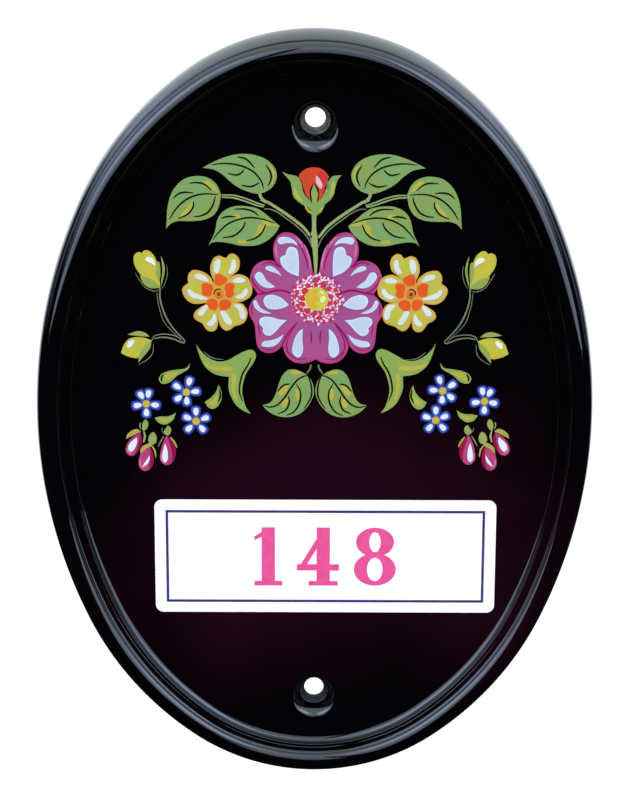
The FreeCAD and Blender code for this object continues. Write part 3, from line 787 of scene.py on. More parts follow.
def calyx(green):
    """Green cup and sepals round the red bud."""
    green.lay([
        outline([(-8.7, 68), (-7.1, 67.3), (-5.4, 67), (-4.3, 66.3), (-3.6, 64.8), (-3.2, 62.8),
             (-2.3, 61.2), (-1.2, 60.1)],
            [(0, 59.7), (-0.4, 57.6), (-2.3, 58.4), (-3.4, 59.2), (-4.6, 60.1), (-5.7, 61.4), (-6.1, 63.4),
             (-6.5, 65.3), (-7.4, 66.5)]),
        outline([(6.9, 67.1), (4.9, 66.9), (3.8, 66), (3.1, 64.2), (2.4, 62.3), (1.7, 60.9), (0.7, 59.8)],
            [(0, 59.6), (0.4, 57.6), (1.8, 58.6), (2.7, 59.4), (4.1, 60.6), (4.9, 62), (5.3, 63.9),
             (5.9, 65.9)]),
    ], "leaf", 2)
    green.lay([
        outline([(-2.8, 59.7), (-2.5, 58.3), (-1.9, 57.2), (-0.8, 56.3)],
            [(-0.9, 55.4)],
            [(0.3, 55.4), (0.5, 56.3), (1.6, 57.2), (2.2, 58.4)],
            [(2.7, 59.7), (0.8, 60.3), (-1, 60.3)]),
    ], "leaf", 3)
    green.lay([
        rounded([(-5.6, 62.8), (-5.2, 63.6), (-4.2, 61.6), (-3.2, 60.2), (-4, 60), (-5.1, 61.2)]),
        rounded([(4.5, 65.4), (5.1, 64.4), (4.6, 62.2), (3.4, 60.6), (4, 62.4)]),
        outline([(-2.9, 59.3), (-2.4, 57.9), (-1.6, 57)], [(-0.9, 56.8), (-1.5, 57.7), (-2.1, 58.5)]),
        outline([(2.3, 58.5), (1.6, 57.5)], [(0.9, 57), (1.2, 58)]),
    ], "lime", 4)
    green.lay([stroke([(3.3, 65.6), (3.2, 64.4), (3.6, 63)], 0.55)], "stem_grey", 4)
    green.lay([
        outline([(-0.3, 65.1), (-1.3, 63.4), (-1.4, 61.4), (-0.9, 59.7), (0.5, 59.7), (1, 61.4),
             (0.9, 63.2)]),
        stroke([(-3, 59.1), (-2.6, 57.7), (-1.8, 56.6), (-0.9, 56)], 0.3),
        stroke([(-2.1, 58.7), (-1.6, 57.9), (-1, 57.5)], 0.22),
        stroke([(0.6, 56.1), (1.6, 56.8), (2.3, 58.2), (3.4, 59.4)], 0.26),
    ], "vein", 4)
    green.lay([
        outline([(-0.3, 64.8), (-1, 62.8), (-0.9, 61.2), (-0.6, 59.2)],
            [(0.4, 59.2), (0.6, 61), (0.7, 62.3)]),
    ], "pale_leaf", 5)


def bud_green(green):
    """Sepals of the yellow buds, and caps and stalks of the pink ones."""
    green.lay_both([
        outline([(-46.2, 39.5), (-43.6, 38.9), (-41.2, 37)],
            [(-40.9, 36.3), (-43.4, 36.2), (-45.2, 37.4)]),
        outline([(-40.6, 45.1), (-39.9, 43.4), (-39.6, 41.2), (-40.1, 38.6)],
            [(-40.8, 36.4), (-40.4, 39.4), (-40.2, 41.6)]),
        outline([(-41.6, 43.6), (-40.9, 43), (-40.8, 39.6)], [(-41.2, 37.4), (-41.9, 40.6)]),
        outline([(-49.7, 23.3), (-48.2, 24), (-46.7, 24.3), (-45, 23.8)], [(-43.9, 22.8), (-46.4, 22.9)]),
        outline([(-43.4, 21.7), (-43.8, 19.6), (-45.2, 17.7)],
            [(-47, 15.5), (-46.7, 17.6), (-45.6, 19.8)]),
    ], "pale_leaf", 2)
    green.lay_both([
        rounded([(-45.2, -0.6), (-44.6, -1.7), (-45, -3.1), (-46, -3.8), (-46.3, -2.6), (-46, -1.2)]),
        rounded([(-43.3, -4.2), (-42.5, -5.3), (-42.6, -7), (-43.7, -7.7), (-44.7, -6.7), (-44.3, -5)]),
        rounded([(-39.3, -2.3), (-38.5, -3.3), (-38.8, -4.6), (-39.7, -5.1), (-40.5, -4.1), (-39.9, -3)]),
        stroke([(-46.6, -1.4), (-46.9, -2.2), (-46.6, -3.4)], 0.3),
        stroke([(-45.9, -3.8), (-45.6, -5.4), (-46, -7.2)], 0.55),
    ], "pale_leaf", 2, *BUD_SHIFT)
    green.lay_both([
        outline([(-50.7, -6.1), (-50.2, -4.7), (-49, -3.7), (-47.7, -3.3)], [(-46.6, -4), (-48.4, -4.9)]),
        outline([(-46.9, -10.4), (-46.7, -8.8), (-45.5, -7.7), (-44.1, -7.3)],
            [(-43.7, -8.1), (-45.2, -8.8)]),
        stroke([(-43.8, -8), (-43, -9.4), (-42.7, -11.4)], 0.45),
        stroke([(-38.7, -5.6), (-37.7, -7), (-37, -8.6)], 0.5),
    ], "olive", 4, *BUD_SHIFT)
    green.lay_both([
        stroke([(-40.5, -5.3), (-41.3, -6.7), (-42.1, -8.3)], 0.36),
        stroke([(-40.9, -2.9), (-40.9, -3.9), (-40.2, -4.8)], 0.18),
    ], "stem_grey", 3, *BUD_SHIFT)


# Print: the big flower

FLOWER_AXIS = 0.25
DISC = (0.5, 33.4)


def flower_outline():
    """Left half of the five petals, with the clefts between them, and its mirror."""
    tall = [(0.25, 39.6), (-0.6, 41), (-1.2, 44.3), (-2.3, 47.2), (-3.9, 49.7), (-5.9, 51.3), (-8.1, 51.6),
            (-9.9, 50.5), (-10.9, 48), (-10.9, 45.7), (-10.4, 43.6)]
    upper = [(-10.4, 43.6), (-12, 43.9), (-13.9, 43.7), (-15.7, 42.6), (-16.8, 40.7), (-17.1, 38.7),
             (-16.4, 36.8), (-15, 34.7)]
    side = [(-15, 34.7), (-16.7, 32.6), (-17.5, 30.4), (-17.1, 28.4), (-16.1, 26.6), (-15.8, 24.8),
            (-15.6, 22.1), (-15.1, 19.9), (-13.7, 18.6), (-11.7, 18.3), (-9.9, 19.1), (-8.5, 20.6)]
    low = [(-8.5, 20.6), (-8.2, 19), (-7.2, 17.1), (-5.3, 15.7), (-3.1, 15.4), (-1.2, 15.8), (0.25, 16.6)]
    runs = [tall, upper, side, low]
    right = [[(2 * FLOWER_AXIS - x, z) for x, z in run[::-1]] for run in runs[::-1]]
    return outline(*[run[:-1] for run in runs + right])


def petal_marks():
    """White brush marks of the left half."""
    return [
        outline([(-9.9, 49.3), (-9.4, 50.1), (-8.1, 50.4), (-6.4, 50), (-5.1, 49)],
            [(-4.6, 48), (-5.6, 48.6), (-7.3, 48.7), (-9.2, 48.4)]),
        outline([(-4.3, 39.6), (-4.2, 42.1), (-4.3, 44.8), (-4.7, 46.8), (-5.6, 47.6), (-6.8, 47.6),
             (-7.5, 46.7)],
            [(-7.7, 45.4), (-8.5, 45.2), (-9.2, 44.4), (-8.7, 42.6), (-7.3, 41), (-5.6, 40.1)]),
        outline([(-8.8, 39.7), (-9.8, 41.1), (-11.2, 42.2), (-12.4, 42.4), (-13.1, 41.8), (-12.2, 41.1),
             (-10.3, 40.5)]),
        outline([(-10.5, 36.6), (-11.4, 37.4), (-12.8, 38.5), (-13.7, 40.1), (-14.6, 40.8), (-15.5, 40.4),
             (-15.8, 39.1), (-14.2, 37.1), (-12.3, 36.4)]),
        outline([(-6.9, 31.7), (-7.9, 32.8), (-9.3, 33.9), (-11.3, 34.5), (-13, 34.1), (-13.6, 32.9),
             (-13.2, 31.6), (-12.2, 30.7), (-10.1, 30.5), (-8.1, 31)]),
        outline([(-11.5, 29.3), (-13.7, 30.4), (-14.9, 31.6), (-15.5, 32.9), (-16.3, 32.5), (-15.7, 30.7),
             (-13.9, 29.5)]),
        outline([(-7.4, 27.5), (-9.5, 27.7), (-11.4, 28.3), (-13.4, 28.4), (-14.6, 27.7), (-14.6, 26.4)],
            [(-13.7, 25.3), (-13.8, 24.3), (-13.1, 23.4), (-11.8, 23.2), (-10.4, 24.3), (-8.7, 26.3)]),
        outline([(-8.3, 23.5), (-10.1, 22.4), (-12, 21.8), (-13.6, 21.5), (-14.1, 20.4), (-12.6, 20),
             (-10.6, 20.4), (-9.2, 21.8)]),
        outline([(-3.2, 25.1), (-3.3, 22.1), (-3.1, 19.3), (-3.7, 17.5), (-4.8, 17.2), (-5.9, 18.4),
             (-5.9, 20.2), (-5.2, 22.7), (-4.2, 24.3)]),
    ]


def magenta_print(inks):
    magenta = Print("print_magenta", inks)
    petals = flower_outline()
    magenta.lay([petals], "petal_rim", 2)
    magenta.lay([grown(petals, -petal_edge)], "petal", 3)
    magenta.lay_both([
        stroke([(-4.3, 48.6), (-2.9, 45.9), (-2.1, 43.4), (-1.9, 41.6)], 0.42),
        stroke([(-10.5, 43.8), (-9.8, 42.8), (-8.9, 42)], 0.6, 1.0, 0.3),
        stroke([(-14, 42.7), (-12.3, 43.4), (-10.6, 42.9), (-9.5, 41.7)], 0.36),
        stroke([(-16.6, 39.6), (-16.1, 37.6), (-14.4, 35.7), (-12.2, 34.9)], 0.42),
        stroke([(-15.2, 34.7), (-12.3, 35.1), (-9.5, 35.8), (-7, 35.2), (-5.6, 34.4)], 0.6, 0.8, 0.3),
        stroke([(-16.5, 32), (-16.8, 30.6), (-16.4, 29)], 0.4),
        stroke([(-14.9, 26.9), (-14.8, 25), (-14.4, 22.8)], 0.3),
        stroke([(-8.6, 20.6), (-7.8, 22.6), (-6.4, 24.8), (-4.4, 27)], 0.5, 0.9, 0.3),
        stroke([(-5.1, 25.9), (-6.8, 23.2), (-7.5, 20.6), (-6.9, 18.3), (-4.8, 16.6), (-1.9, 16.9)], 0.4),
        stroke([(-1.2, 24.6), (-0.9, 22.9), (-1, 21)], 0.4),
        stroke([(-14.3, 20.2), (-13.2, 19.4), (-11.4, 19.3), (-9.8, 20.4)], 0.28),
    ], "petal_line", 4, FLOWER_AXIS)
    magenta.lay_both([
        stroke([(-2.9, 48.4), (-1.9, 46), (-1.3, 43.4), (-1.2, 41.6)], 0.5),
        stroke([(-10.2, 48.6), (-10.3, 46.6), (-9.9, 44.6)], 0.5),
        stroke([(-5.3, 50.6), (-3.9, 49), (-3.2, 47.4)], 0.5),
    ], "petal_light", 4, FLOWER_AXIS)
    magenta.lay_both([scaled(mark, mark_shade) for mark in petal_marks()], "petal_shade", 5, FLOWER_AXIS)
    pink_buds(magenta)
    magenta.finish()


BUD_SHIFT = (0.85, 0.4)


def pink_buds(magenta):
    bodies = [
        outline([(-46.8, -4.2), (-46.3, -6), (-46.5, -7.8), (-47.3, -9.4), (-48.5, -10.7), (-49.7, -10.9),
             (-50.6, -10.2), (-50.8, -8.8), (-50.2, -7.2), (-49, -5.7)]),
        outline([(-44.2, -8.1), (-43.5, -10), (-43.3, -12), (-43.8, -14), (-45, -15.1), (-46.2, -15.2),
             (-47.2, -14.2), (-47.4, -12.7), (-47, -10.7), (-46, -9.1)]),
        outline([(-39.7, -4.9), (-38.7, -6), (-37.8, -7.4), (-37.3, -9.2), (-37.5, -11.2), (-38.4, -12.9),
             (-39.7, -13.6), (-40.9, -13.1), (-41.6, -11.6), (-41.4, -9.6), (-40.8, -7.3)]),
    ]
    magenta.lay_both(bodies, "bud_pink", 2, *BUD_SHIFT)
    magenta.lay_both([
        outline([(-46.8, -4.2), (-46.3, -6), (-46.5, -7.8), (-47.3, -9.4)],
            [(-48.4, -10.6), (-47.6, -8.6), (-47.1, -6.6)]),
        outline([(-44.2, -8.1), (-43.5, -10), (-43.3, -12), (-43.8, -14)],
            [(-44.8, -14.9), (-44.3, -12.6), (-44.2, -10.4)]),
        outline([(-39.7, -4.9), (-38.7, -6), (-37.8, -7.4), (-37.3, -9.2), (-37.5, -11.2)],
            [(-38.4, -12.9), (-38.3, -10.4), (-38.9, -7.6)]),
    ], "crimson", 3, *BUD_SHIFT)
    magenta.lay_both([
        stroke([(-50.3, -8.6), (-50.1, -9.8), (-49.2, -10.5)], 0.5),
        stroke([(-47, -12), (-46.9, -13.7), (-46, -14.7)], 0.45),
        stroke([(-41.2, -10.2), (-41.2, -12), (-40.3, -13.2)], 0.45),
    ], "petal_light", 3, *BUD_SHIFT)


def bud_marks():
    return [
        outline([(-47.8, -5.6), (-47.7, -7), (-48.3, -8.7), (-49.3, -9.8), (-50.1, -8.9), (-49.7, -7.4)]),
        outline([(-44.4, -10.8), (-44.5, -12.1), (-45.1, -13.3), (-46.3, -14.1), (-45.8, -13)]),
        outline([(-40.2, -7.3), (-39.6, -9.3), (-39.5, -11.7), (-40.2, -12.8), (-40.9, -12), (-40.9, -10)]),
    ]


def white_print(inks, tree):
    white = Print("print_white", inks)
    white.lay_both(petal_marks(), "mark_edge", 6, FLOWER_AXIS)
    white.lay_both([scaled(mark, mark_middle) for mark in petal_marks()], "pale_blue", 7, FLOWER_AXIS)
    white.lay_both(bud_marks(), "lilac_white", 6, *BUD_SHIFT)
    white.lay(primrose_strokes(), "cream", 6)
    white.lay([outline([(0.2, 67.1), (1.2, 66), (1.9, 64.5)], [(1.6, 63.4), (0.9, 64),
         (0.2, 65.3)])], "blush", 6)
    white.lay_both([
        rounded([(-44.7, 44.2), (-44, 44.8), (-42.6, 44.2), (-42.1, 42.4), (-43, 43), (-44, 43.4)]),
        rounded([(-49.9, 19.7), (-49.7, 21.1), (-48.3, 21.8), (-48, 21.2), (-48.8, 20)]),
    ], "lilac_white", 6)
    fleck = rounded([(0, 0.5), (0.42, 0.1), (0.5, -0.4), (0, -0.3), (-0.45, -0.4), (-0.3, 0.2)], 3)
    white.stamp(tree, "pollen", fleck, pollen_places(), 5, "pollen")
    drop = rounded([(1, 0), (0.7, 0.42), (0.1, 0.5), (-0.6, 0.36), (-1, 0), (-0.6, -0.36), (0.1, -0.5),
                  (0.7, -0.42)], 3)
    lights = [(x, z, turn, 1.1, 1.4) for x, z, turn in petal_points(0.62)]
    white.stamp(tree, "petal_light", drop, lights, 6, "lilac_white")
    white.finish()


def pollen_places():
    """Pale flecks between the stamens, thick near the disc and thinner outwards."""
    draw = random.Random(5)
    flecks, inner_reach, spread, golden_share = 150, 3.2, 3.7, 0.618034
    places = []
    for k in range(flecks):
        turn = 2 * pi * (k * golden_share)
        reach = inner_reach + spread * (k / flecks) ** 0.9 + draw.uniform(-0.3, 0.3)
        size = draw.uniform(0.55, 1.25)
        places.append((DISC[0] + reach * cos(turn), DISC[1] + reach * sin(turn), draw.uniform(0, 360),
                       size, size * draw.uniform(0.6, 1)))
    return places


# Print: primroses

PRIMROSE_PETALS = [
    [(-25.6, 37.6), (-26.9, 38.9), (-27.6, 41.1), (-27.4, 43), (-26.6, 44.6), (-25.2, 45.2), (-23.5, 44.6),
     (-22.7, 45.5), (-21.6, 45.8), (-20.3, 44.9), (-19.8, 43.3), (-20.2, 41.3), (-21.3, 40.2),
     (-23.4, 38.6)],
    [(-23.4, 38.6), (-21.1, 39.9), (-19.4, 40), (-17.7, 39.1), (-16.8, 37.4), (-16.5, 35.8), (-17, 34.1),
     (-18.6, 32.9), (-20.5, 32.4), (-23, 33.6)],
    [(-23, 33.6), (-20.8, 32.4), (-19.1, 31.9), (-18, 30.3), (-17.9, 28.6), (-18.6, 26.9), (-19.8, 26.2),
     (-21.3, 25.7), (-22.4, 24.8), (-23.6, 24.5), (-24.8, 25.4), (-25.5, 27.2), (-25.9, 30), (-25.6, 32.6)],
    [(-25.6, 32.6), (-28.6, 31.9), (-30.5, 30.8), (-31.8, 29.7), (-32.1, 28.3), (-31.3, 27.3),
     (-29.9, 26.5), (-29.1, 25.2), (-28, 24.3), (-26.6, 24.5), (-25.8, 25.8), (-25.6, 28.6)],
    [(-27, 33.6), (-28.6, 32.3), (-31.6, 31.9), (-33.3, 32.5), (-34.5, 33.8), (-35.1, 35.5), (-34.7, 36.7),
     (-33.5, 37.7), (-33.6, 38.7), (-33.3, 40.2), (-32.2, 41.2), (-30.2, 41), (-28.6, 40.2), (-27, 38.2)],
]


def primrose_strokes():
    """Two white brush strokes on each petal of both primroses."""
    left = [
        outline([(-26.4, 40.9), (-26.5, 42.6), (-25.9, 43.9), (-25.1, 43.8), (-25.2, 42.2), (-25.7, 40.6)]),
        outline([(-22.8, 40.6), (-22, 42.2), (-21.7, 43.9), (-21.1, 43.6), (-21.1, 41.9), (-21.9, 40.6)]),
        outline([(-21.6, 38.2), (-20.6, 38.9), (-19.2, 38.9), (-18.6, 38.3), (-20.2, 37.9)]),
        outline([(-20.9, 33.9), (-19.4, 34.6), (-18.2, 36.1), (-17.9, 35.3), (-18.6, 34.1), (-20, 33.5)]),
        outline([(-21.3, 31.6), (-20, 30.2), (-19.6, 28.2), (-18.7, 28), (-18.6, 29.6), (-19.6, 31.4)]),
        outline([(-24.9, 29.8), (-24.3, 28.2), (-23.3, 26.6), (-22.1, 26.6), (-22.9, 28.2), (-23.9, 29.8)]),
        outline([(-28.6, 31.5), (-29.9, 30.6), (-30.8, 29.2), (-29.9, 28.8), (-29.1, 30)], [(-28.4, 31)]),
        outline([(-26.6, 29), (-26.3, 27.4), (-27.4, 26), (-28.4, 26.4), (-27.4, 27.4)]),
        outline([(-28.2, 38.2), (-30, 38.6), (-31.6, 39.4), (-31, 40), (-29.4, 39.6)]),
        outline([(-28.4, 33.3), (-30.6, 33.4), (-32.6, 34), (-33.5, 35.5), (-32.9, 35.6), (-31.8, 34.7)]),
    ]
    left = [grown(loop, stroke_gain) for loop in left]
    return left + [mirrored(loop) for loop in left]


def yellow_print(inks, tree):
    yellow = Print("print_yellow", inks)
    petals = [outline(petal) for petal in PRIMROSE_PETALS]
    yellow.lay_both(petals, "gold", 2)
    yellow.lay_both([grown(petal, -primrose_edge) for petal in petals], "yellow", 3)
    yellow.lay_both([
        outline([(-24.6, 39.6), (-24.8, 42.4), (-23.6, 44.2), (-22.7, 42.6)], [(-23.6, 39.6)]),
        outline([(-21, 37.2), (-19.4, 37.6), (-17.8, 37.2), (-18.8, 36), (-20.8, 35.2)]),
        outline([(-23.2, 29.6), (-22.6, 27.4), (-21, 26.6), (-20.2, 28.6), (-21.4, 31)]),
        outline([(-28, 30.2), (-28.9, 28.6), (-28.4, 27.4), (-27.2, 28.6), (-27, 30.4)]),
        outline([(-30.2, 37), (-32.2, 37.2), (-33, 36.2), (-31.9, 35.3), (-30, 35.2)]),
    ], "wedge", 4)
    buds = [
        outline([(-40.9, 36.2), (-41, 39.2), (-41.4, 42.3), (-42.3, 45), (-43.8, 46.5), (-45, 46.5)],
            [(-45.5, 45.8), (-46.4, 46.1), (-47.5, 45.4), (-47.8, 43.8), (-47.3, 41.9), (-46.1, 40),
             (-44.8, 37.7), (-43.2, 36.4)]),
        outline([(-43.3, 21.7), (-45.2, 22.4), (-47.5, 22.6), (-49.4, 22.1), (-50.7, 20.6)],
            [(-51.6, 18.2), (-50.2, 17.4), (-48.2, 16.8), (-46.9, 16.9), (-45.2, 18.1), (-43.9, 20)]),
    ]
    yellow.lay_both(buds, "bud_yellow", 1)
    yellow.lay_both([stroke([(-45.5, 45.6), (-44.6, 44), (-43.6, 42.6)], 0.25),
                     stroke([(-49.8, 17.7), (-48.2, 17.2), (-46.9, 17.5)], 0.25)], "gold_line", 2)
    eye = ellipse(0, 0, 2, 2, 20)
    for name, radius, layer, ink in (("eye_ring", 1.05, 6, "gold"), ("eye", 0.8, 7, "bud_yellow")):
        places = [(x, z, 0, radius, radius) for x, z, _ in all_blue_flowers()]
        yellow.stamp(tree, name, eye, places, layer, ink)
    yellow.lay([ellipse(*DISC, 6.3, 6.5)], "disc_yellow", 6)
    yellow.lay([
        rounded([(-2.4, 33.6), (-1.9, 35.4), (-0.5, 36.1), (1.1, 35.9), (0.3, 34.6), (1.3, 33.2),
             (0.2, 32.4), (0.9, 31), (-1.2, 31), (-2.2, 32.2)]),
    ], "disc_gold", 7)
    yellow.lay([
        rounded([(1.4, 33.6), (2.2, 34.2), (2.9, 33.6), (2.4, 32.6), (1.6, 32.5)]),
        rounded([(1.2, 35.6), (2, 35.4), (2.5, 34.9), (1.8, 34.9)]),
    ], "disc_pale", 7)
    yellow.finish()


def orange_print(inks):
    """Orange lobes round each primrose's eye, with the eye's ring and its dark swirl."""
    orange = Print("print_orange", inks)
    lobes = [
        rounded([(-26.5, 38.6), (-26.2, 39.9), (-25.2, 40.2), (-24.2, 39.7), (-23.2, 38.9), (-23.6, 37.8),
             (-24.9, 37), (-26.3, 37.3)]),
        rounded([(-23.4, 37.5), (-22, 37.7), (-21.2, 37), (-21.6, 35.7), (-21.4, 34.5), (-22.6, 33.6),
             (-23.8, 34.5), (-23.9, 36.2)]),
        rounded([(-24.9, 32.8), (-23.4, 33.2), (-22.2, 32.4), (-22.4, 31.2), (-23.2, 30.5), (-24.4, 29.8),
             (-25.2, 30.6), (-25.3, 31.9)]),
        rounded([(-25.9, 32.7), (-27.2, 33.4), (-28.6, 32.6), (-28.3, 31.2), (-27.5, 30.5), (-26.4, 30.2),
             (-25.7, 31.2)]),
        rounded([(-27.2, 37.1), (-28.6, 37.7), (-29.8, 37.4), (-29.8, 36), (-29.7, 34.6), (-28.4, 34),
             (-27.2, 34.6), (-26.9, 36)]),
    ]
    eye = (-25.4, 34.9)
    orange.lay_both([ellipse(*eye, 6.6, 6.6)], "gold", 4)
    orange.lay_both([grown(lobe, lobe_edge) for lobe in lobes], "gold", 5)
    orange.lay_both(lobes, "orange", 6)
    orange.lay_both([ellipse(*eye, 3.7, 3.7)], "gold", 7)
    orange.lay_both([ellipse(*eye, 2.8, 2.8)], "amber", 8)
    for across, up, turns, width, ink in ((1.25, 1.2, (200, 165, 130, 95, 60), 0.34, "vein"),
                                          (1.3, 1.3, (235, 270, 305, 335), 0.2, "brown")):
        swirl = [(eye[0] + across * cos(radians(a)), eye[1] + up * sin(radians(a))) for a in turns]
        orange.lay_both([stroke(swirl, width)], ink, 9)
    orange.lay_both([rounded([(-25.9, 34.9), (-25.3, 35.2), (-24.9, 34.6), (-25.3, 34.1), (-25.8, 34.3)])],
                    "rust", 9)
    orange.finish()


# Print: small blue flowers

BLUE_FLOWERS = [
    (-45.07, 3.9, ((78, 4.6), (119, 4.4), (191, 3.8), (270, 3.9), (352, 3.7))),
    (-34.3, 7.2, ((75, 5.0), (146, 4.7), (218, 4.4), (272, 3.9), (5, 3.8))),
    (-31.8, -1.0, ((90, 4.4), (156, 4.0), (227, 4.4), (308, 4.2), (20, 4.1))),
]


def all_blue_flowers():
    """The three on the left, and their mirror images as they sit on the right."""
    right = []
    for (x, z, petals), (out, up) in zip(BLUE_FLOWERS, ((0.4, 1), (-0.1, 0.6), (0.7, 0.5))):
        right.append((out - x, z + up, tuple((180 - turn, reach) for turn, reach in petals)))
    return BLUE_FLOWERS + right


def petal_points(share):
    """A point on each petal, this share of the way out, with the petal's turn."""
    points = []
    for x, z, petals in all_blue_flowers():
        for turn, reach in petals:
            out = reach * share
            points.append((x + out * cos(radians(turn)), z + out * sin(radians(turn)), turn))
    return points


def blue_print(inks, tree):
    blue = Print("print_blue", inks)
    petal = outline([(1, 0), (0.8, 0.42), (0.25, 0.5), (-0.4, 0.36)],
        [(-1, 0.12)],
        [(-1, -0.12), (-0.4, -0.36), (0.25, -0.5), (0.8, -0.42)])
    # Each coat: how far out on the petal, its size there, its layer and its ink
    for name, share, length, width, layer, ink in (("petal_edge", 0.54, 2.25, 2.95, 2, "deep_blue"),
                                                   ("petal", 0.54, 2.0, 2.5, 3, "blue"),
                                                   ("petal_glint", 0.6, 1.5, 2.0, 4, "mid_blue")):
        places = [(x, z, turn, length, width) for x, z, turn in petal_points(share)]
        blue.stamp(tree, name, petal, places, layer, ink)
    blue.finish()


# Print: red bud and stamens

def red_print(inks, tree):
    red = Print("print_red", inks)
    red.lay([outline([(-4.4, 66.9), (-3.4, 68.1), (-1.8, 69), (-0.1, 69.2), (1.6, 68.8), (2.8, 67.8)],
        [(3.6, 66.7), (2.9, 64.8), (2.4, 63), (1.8, 61.2)],
        [(0.6, 59.6)],
        [(-0.8, 59.6), (-2.2, 61.4), (-3, 63.4), (-3.6, 65.3)])], "scarlet", 2)
    red.lay([outline([(0.6, 67.3), (1.6, 68), (2.8, 67.2), (3.2, 66.4), (2.6, 64.4)],
        [(1.9, 61.9), (1.3, 63), (1.9, 64.9), (1.2, 66.3)])], "red", 3)
    mark = ellipse(0, 0, 2, 2, 14)
    red.stamp(tree, "stamen_edge", mark, stamen_places(stamen_edge), 6, "maroon")
    red.stamp(tree, "stamen", mark, stamen_places(0.0), 8, "red")
    red.finish()


def stamen_places(margin):
    """Round stamens in three uneven rings. Each is (x, z, turn, half length, half width)."""
    draw = random.Random(11)
    places = []
    for count, reach, size in ((13, 4.1, 0.62), (17, 5.3, 0.52), (19, 6.6, 0.36)):
        for k in range(count):
            turn = 2 * pi * (k + draw.uniform(-0.25, 0.25)) / count + reach
            out = reach + draw.uniform(-0.35, 0.35)
            radius = size * draw.uniform(0.65, 1.25)
            x, z, tilt = DISC[0] + out * cos(turn), DISC[1] + out * sin(turn), draw.uniform(0, 180)
            width = radius * draw.uniform(0.85, 1)
            if all(hypot(x - a, z - b) > radius + c + stamen_gap for a, b, _, c, _ in places):
                places.append((x, z, tilt, radius + margin, width + margin))
    return places


def ink_set():
    """Every printing colour, with the tone that it drifts to."""
    colours = {
        "leaf": ((113, 150, 91), (124, 147, 80)),
        "moss": ((124, 154, 80), (136, 156, 72)),
        "lime": ((162, 160, 60), (170, 164, 72)),
        "wedge": ((177, 177, 53), (169, 173, 66)),
        "pale_leaf": ((130, 150, 72), (139, 155, 89)),
        "olive": ((151, 153, 65), (169, 155, 76)),
        "stem": ((142, 154, 93), (131, 154, 104)),
        "stem_grey": ((112, 126, 100), (98, 110, 86)),
        "vein": ((22, 26, 8), (14, 16, 6)),
        "petal": ((157, 73, 126), (148, 74, 128)),
        "petal_rim": ((171, 65, 120), (160, 55, 110)),
        "petal_line": ((146, 14, 88), (130, 10, 76)),
        "petal_light": ((192, 114, 156), (182, 102, 147)),
        "petal_shade": ((127, 84, 131), (134, 80, 129)),
        "bud_pink": ((168, 64, 108), (158, 54, 98)),
        "crimson": ((140, 20, 66), (124, 16, 60)),
        "lilac_white": ((214, 221, 236), (206, 213, 232)),
        "pale_blue": ((176, 193, 208), (184, 198, 212)),
        "mark_edge": ((187, 202, 216), (193, 205, 220)),
        "cream": ((202, 210, 205), (195, 203, 191)),
        "blush": ((206, 178, 180), (198, 168, 172)),
        "pollen": ((233, 206, 218), (225, 192, 210)),
        "gold": ((196, 150, 64), (200, 142, 60)),
        "yellow": ((179, 171, 85), (175, 166, 73)),
        "bud_yellow": ((180, 175, 61), (171, 169, 65)),
        "gold_line": ((190, 160, 40), (178, 148, 40)),
        "disc_yellow": ((184, 184, 84), (190, 182, 66)),
        "disc_gold": ((198, 167, 48), (194, 160, 44)),
        "disc_pale": ((214, 224, 160), (208, 220, 150)),
        "orange": ((209, 86, 33), (203, 80, 33)),
        "amber": ((199, 125, 52), (192, 114, 46)),
        "rust": ((150, 44, 22), (140, 40, 20)),
        "brown": ((120, 84, 30), (110, 76, 28)),
        "blue": ((53, 78, 157), (46, 68, 148)),
        "deep_blue": ((31, 30, 109), (26, 26, 96)),
        "mid_blue": ((79, 105, 176), (68, 95, 171)),
        "scarlet": ((194, 70, 40), (187, 65, 40)),
        "red": ((196, 48, 48), (186, 51, 64)),
        "maroon": ((150, 24, 70), (140, 30, 80)),
    }
    return {name: enamel(name, colour, drift) for name, (colour, drift) in colours.items()}


# Number panel

def panel():
    """The white ground, its fine line and the pink numerals stay the solids, with their enamels."""
    looks = {
        "panel_ground": enamel("panel_white", (250, 250, 253), (244, 245, 250), 90.0),
        "panel_line": enamel("panel_navy", (62, 58, 116), (50, 46, 102), 400.0),
        "panel_numerals": enamel("panel_pink", (222, 84, 144), (216, 76, 136), 400.0),
    }
    for node, look in looks.items():
        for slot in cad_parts[node].material_slots:
            slot.link = "OBJECT"
            slot.material = look


# Studio and camera

def soft_box(name, place, width, height, radiance):
    """A soft box that faces the plaque and that the gloss doesn't show. Its power follows from how
    bright its face is."""
    data = bpy.data.lights.new(name, "AREA")
    data.shape = "RECTANGLE"
    data.size = width
    data.size_y = height
    data.energy = radiance * pi * width * height
    light = placed(name, data)
    turn = Vector(place).normalized().to_track_quat("Z", "Y")
    light.matrix_world = Matrix.Translation(place) @ turn.to_matrix().to_4x4()
    light.visible_glossy = light.visible_camera = False


def window_light():
    """Cool daylight that grows towards the panes' tops and towards either side."""
    material = bpy.data.materials.new("window")
    material.use_nodes = True
    tree = material.node_tree
    tree.nodes.clear()
    place = add_node(tree, "ShaderNodeNewGeometry").outputs["Position"]
    split = add_node(tree, "ShaderNodeSeparateXYZ", {"Vector": place}).outputs
    level = ranged(tree, split["Z"], 0.08, 0.6, 1.5, 3.4)
    across = ranged(tree, maths(tree, "ABSOLUTE", split["X"]), 0.1, 0.7, 1.0, 2.4)
    glow = add_node(tree, "ShaderNodeEmission", {
        "Color": (0.62, 0.77, 1.0, 1), "Strength": maths(tree, "MULTIPLY", level, across)})
    add_node(tree, "ShaderNodeOutputMaterial", {"Surface": glow.outputs["Emission"]})
    return material


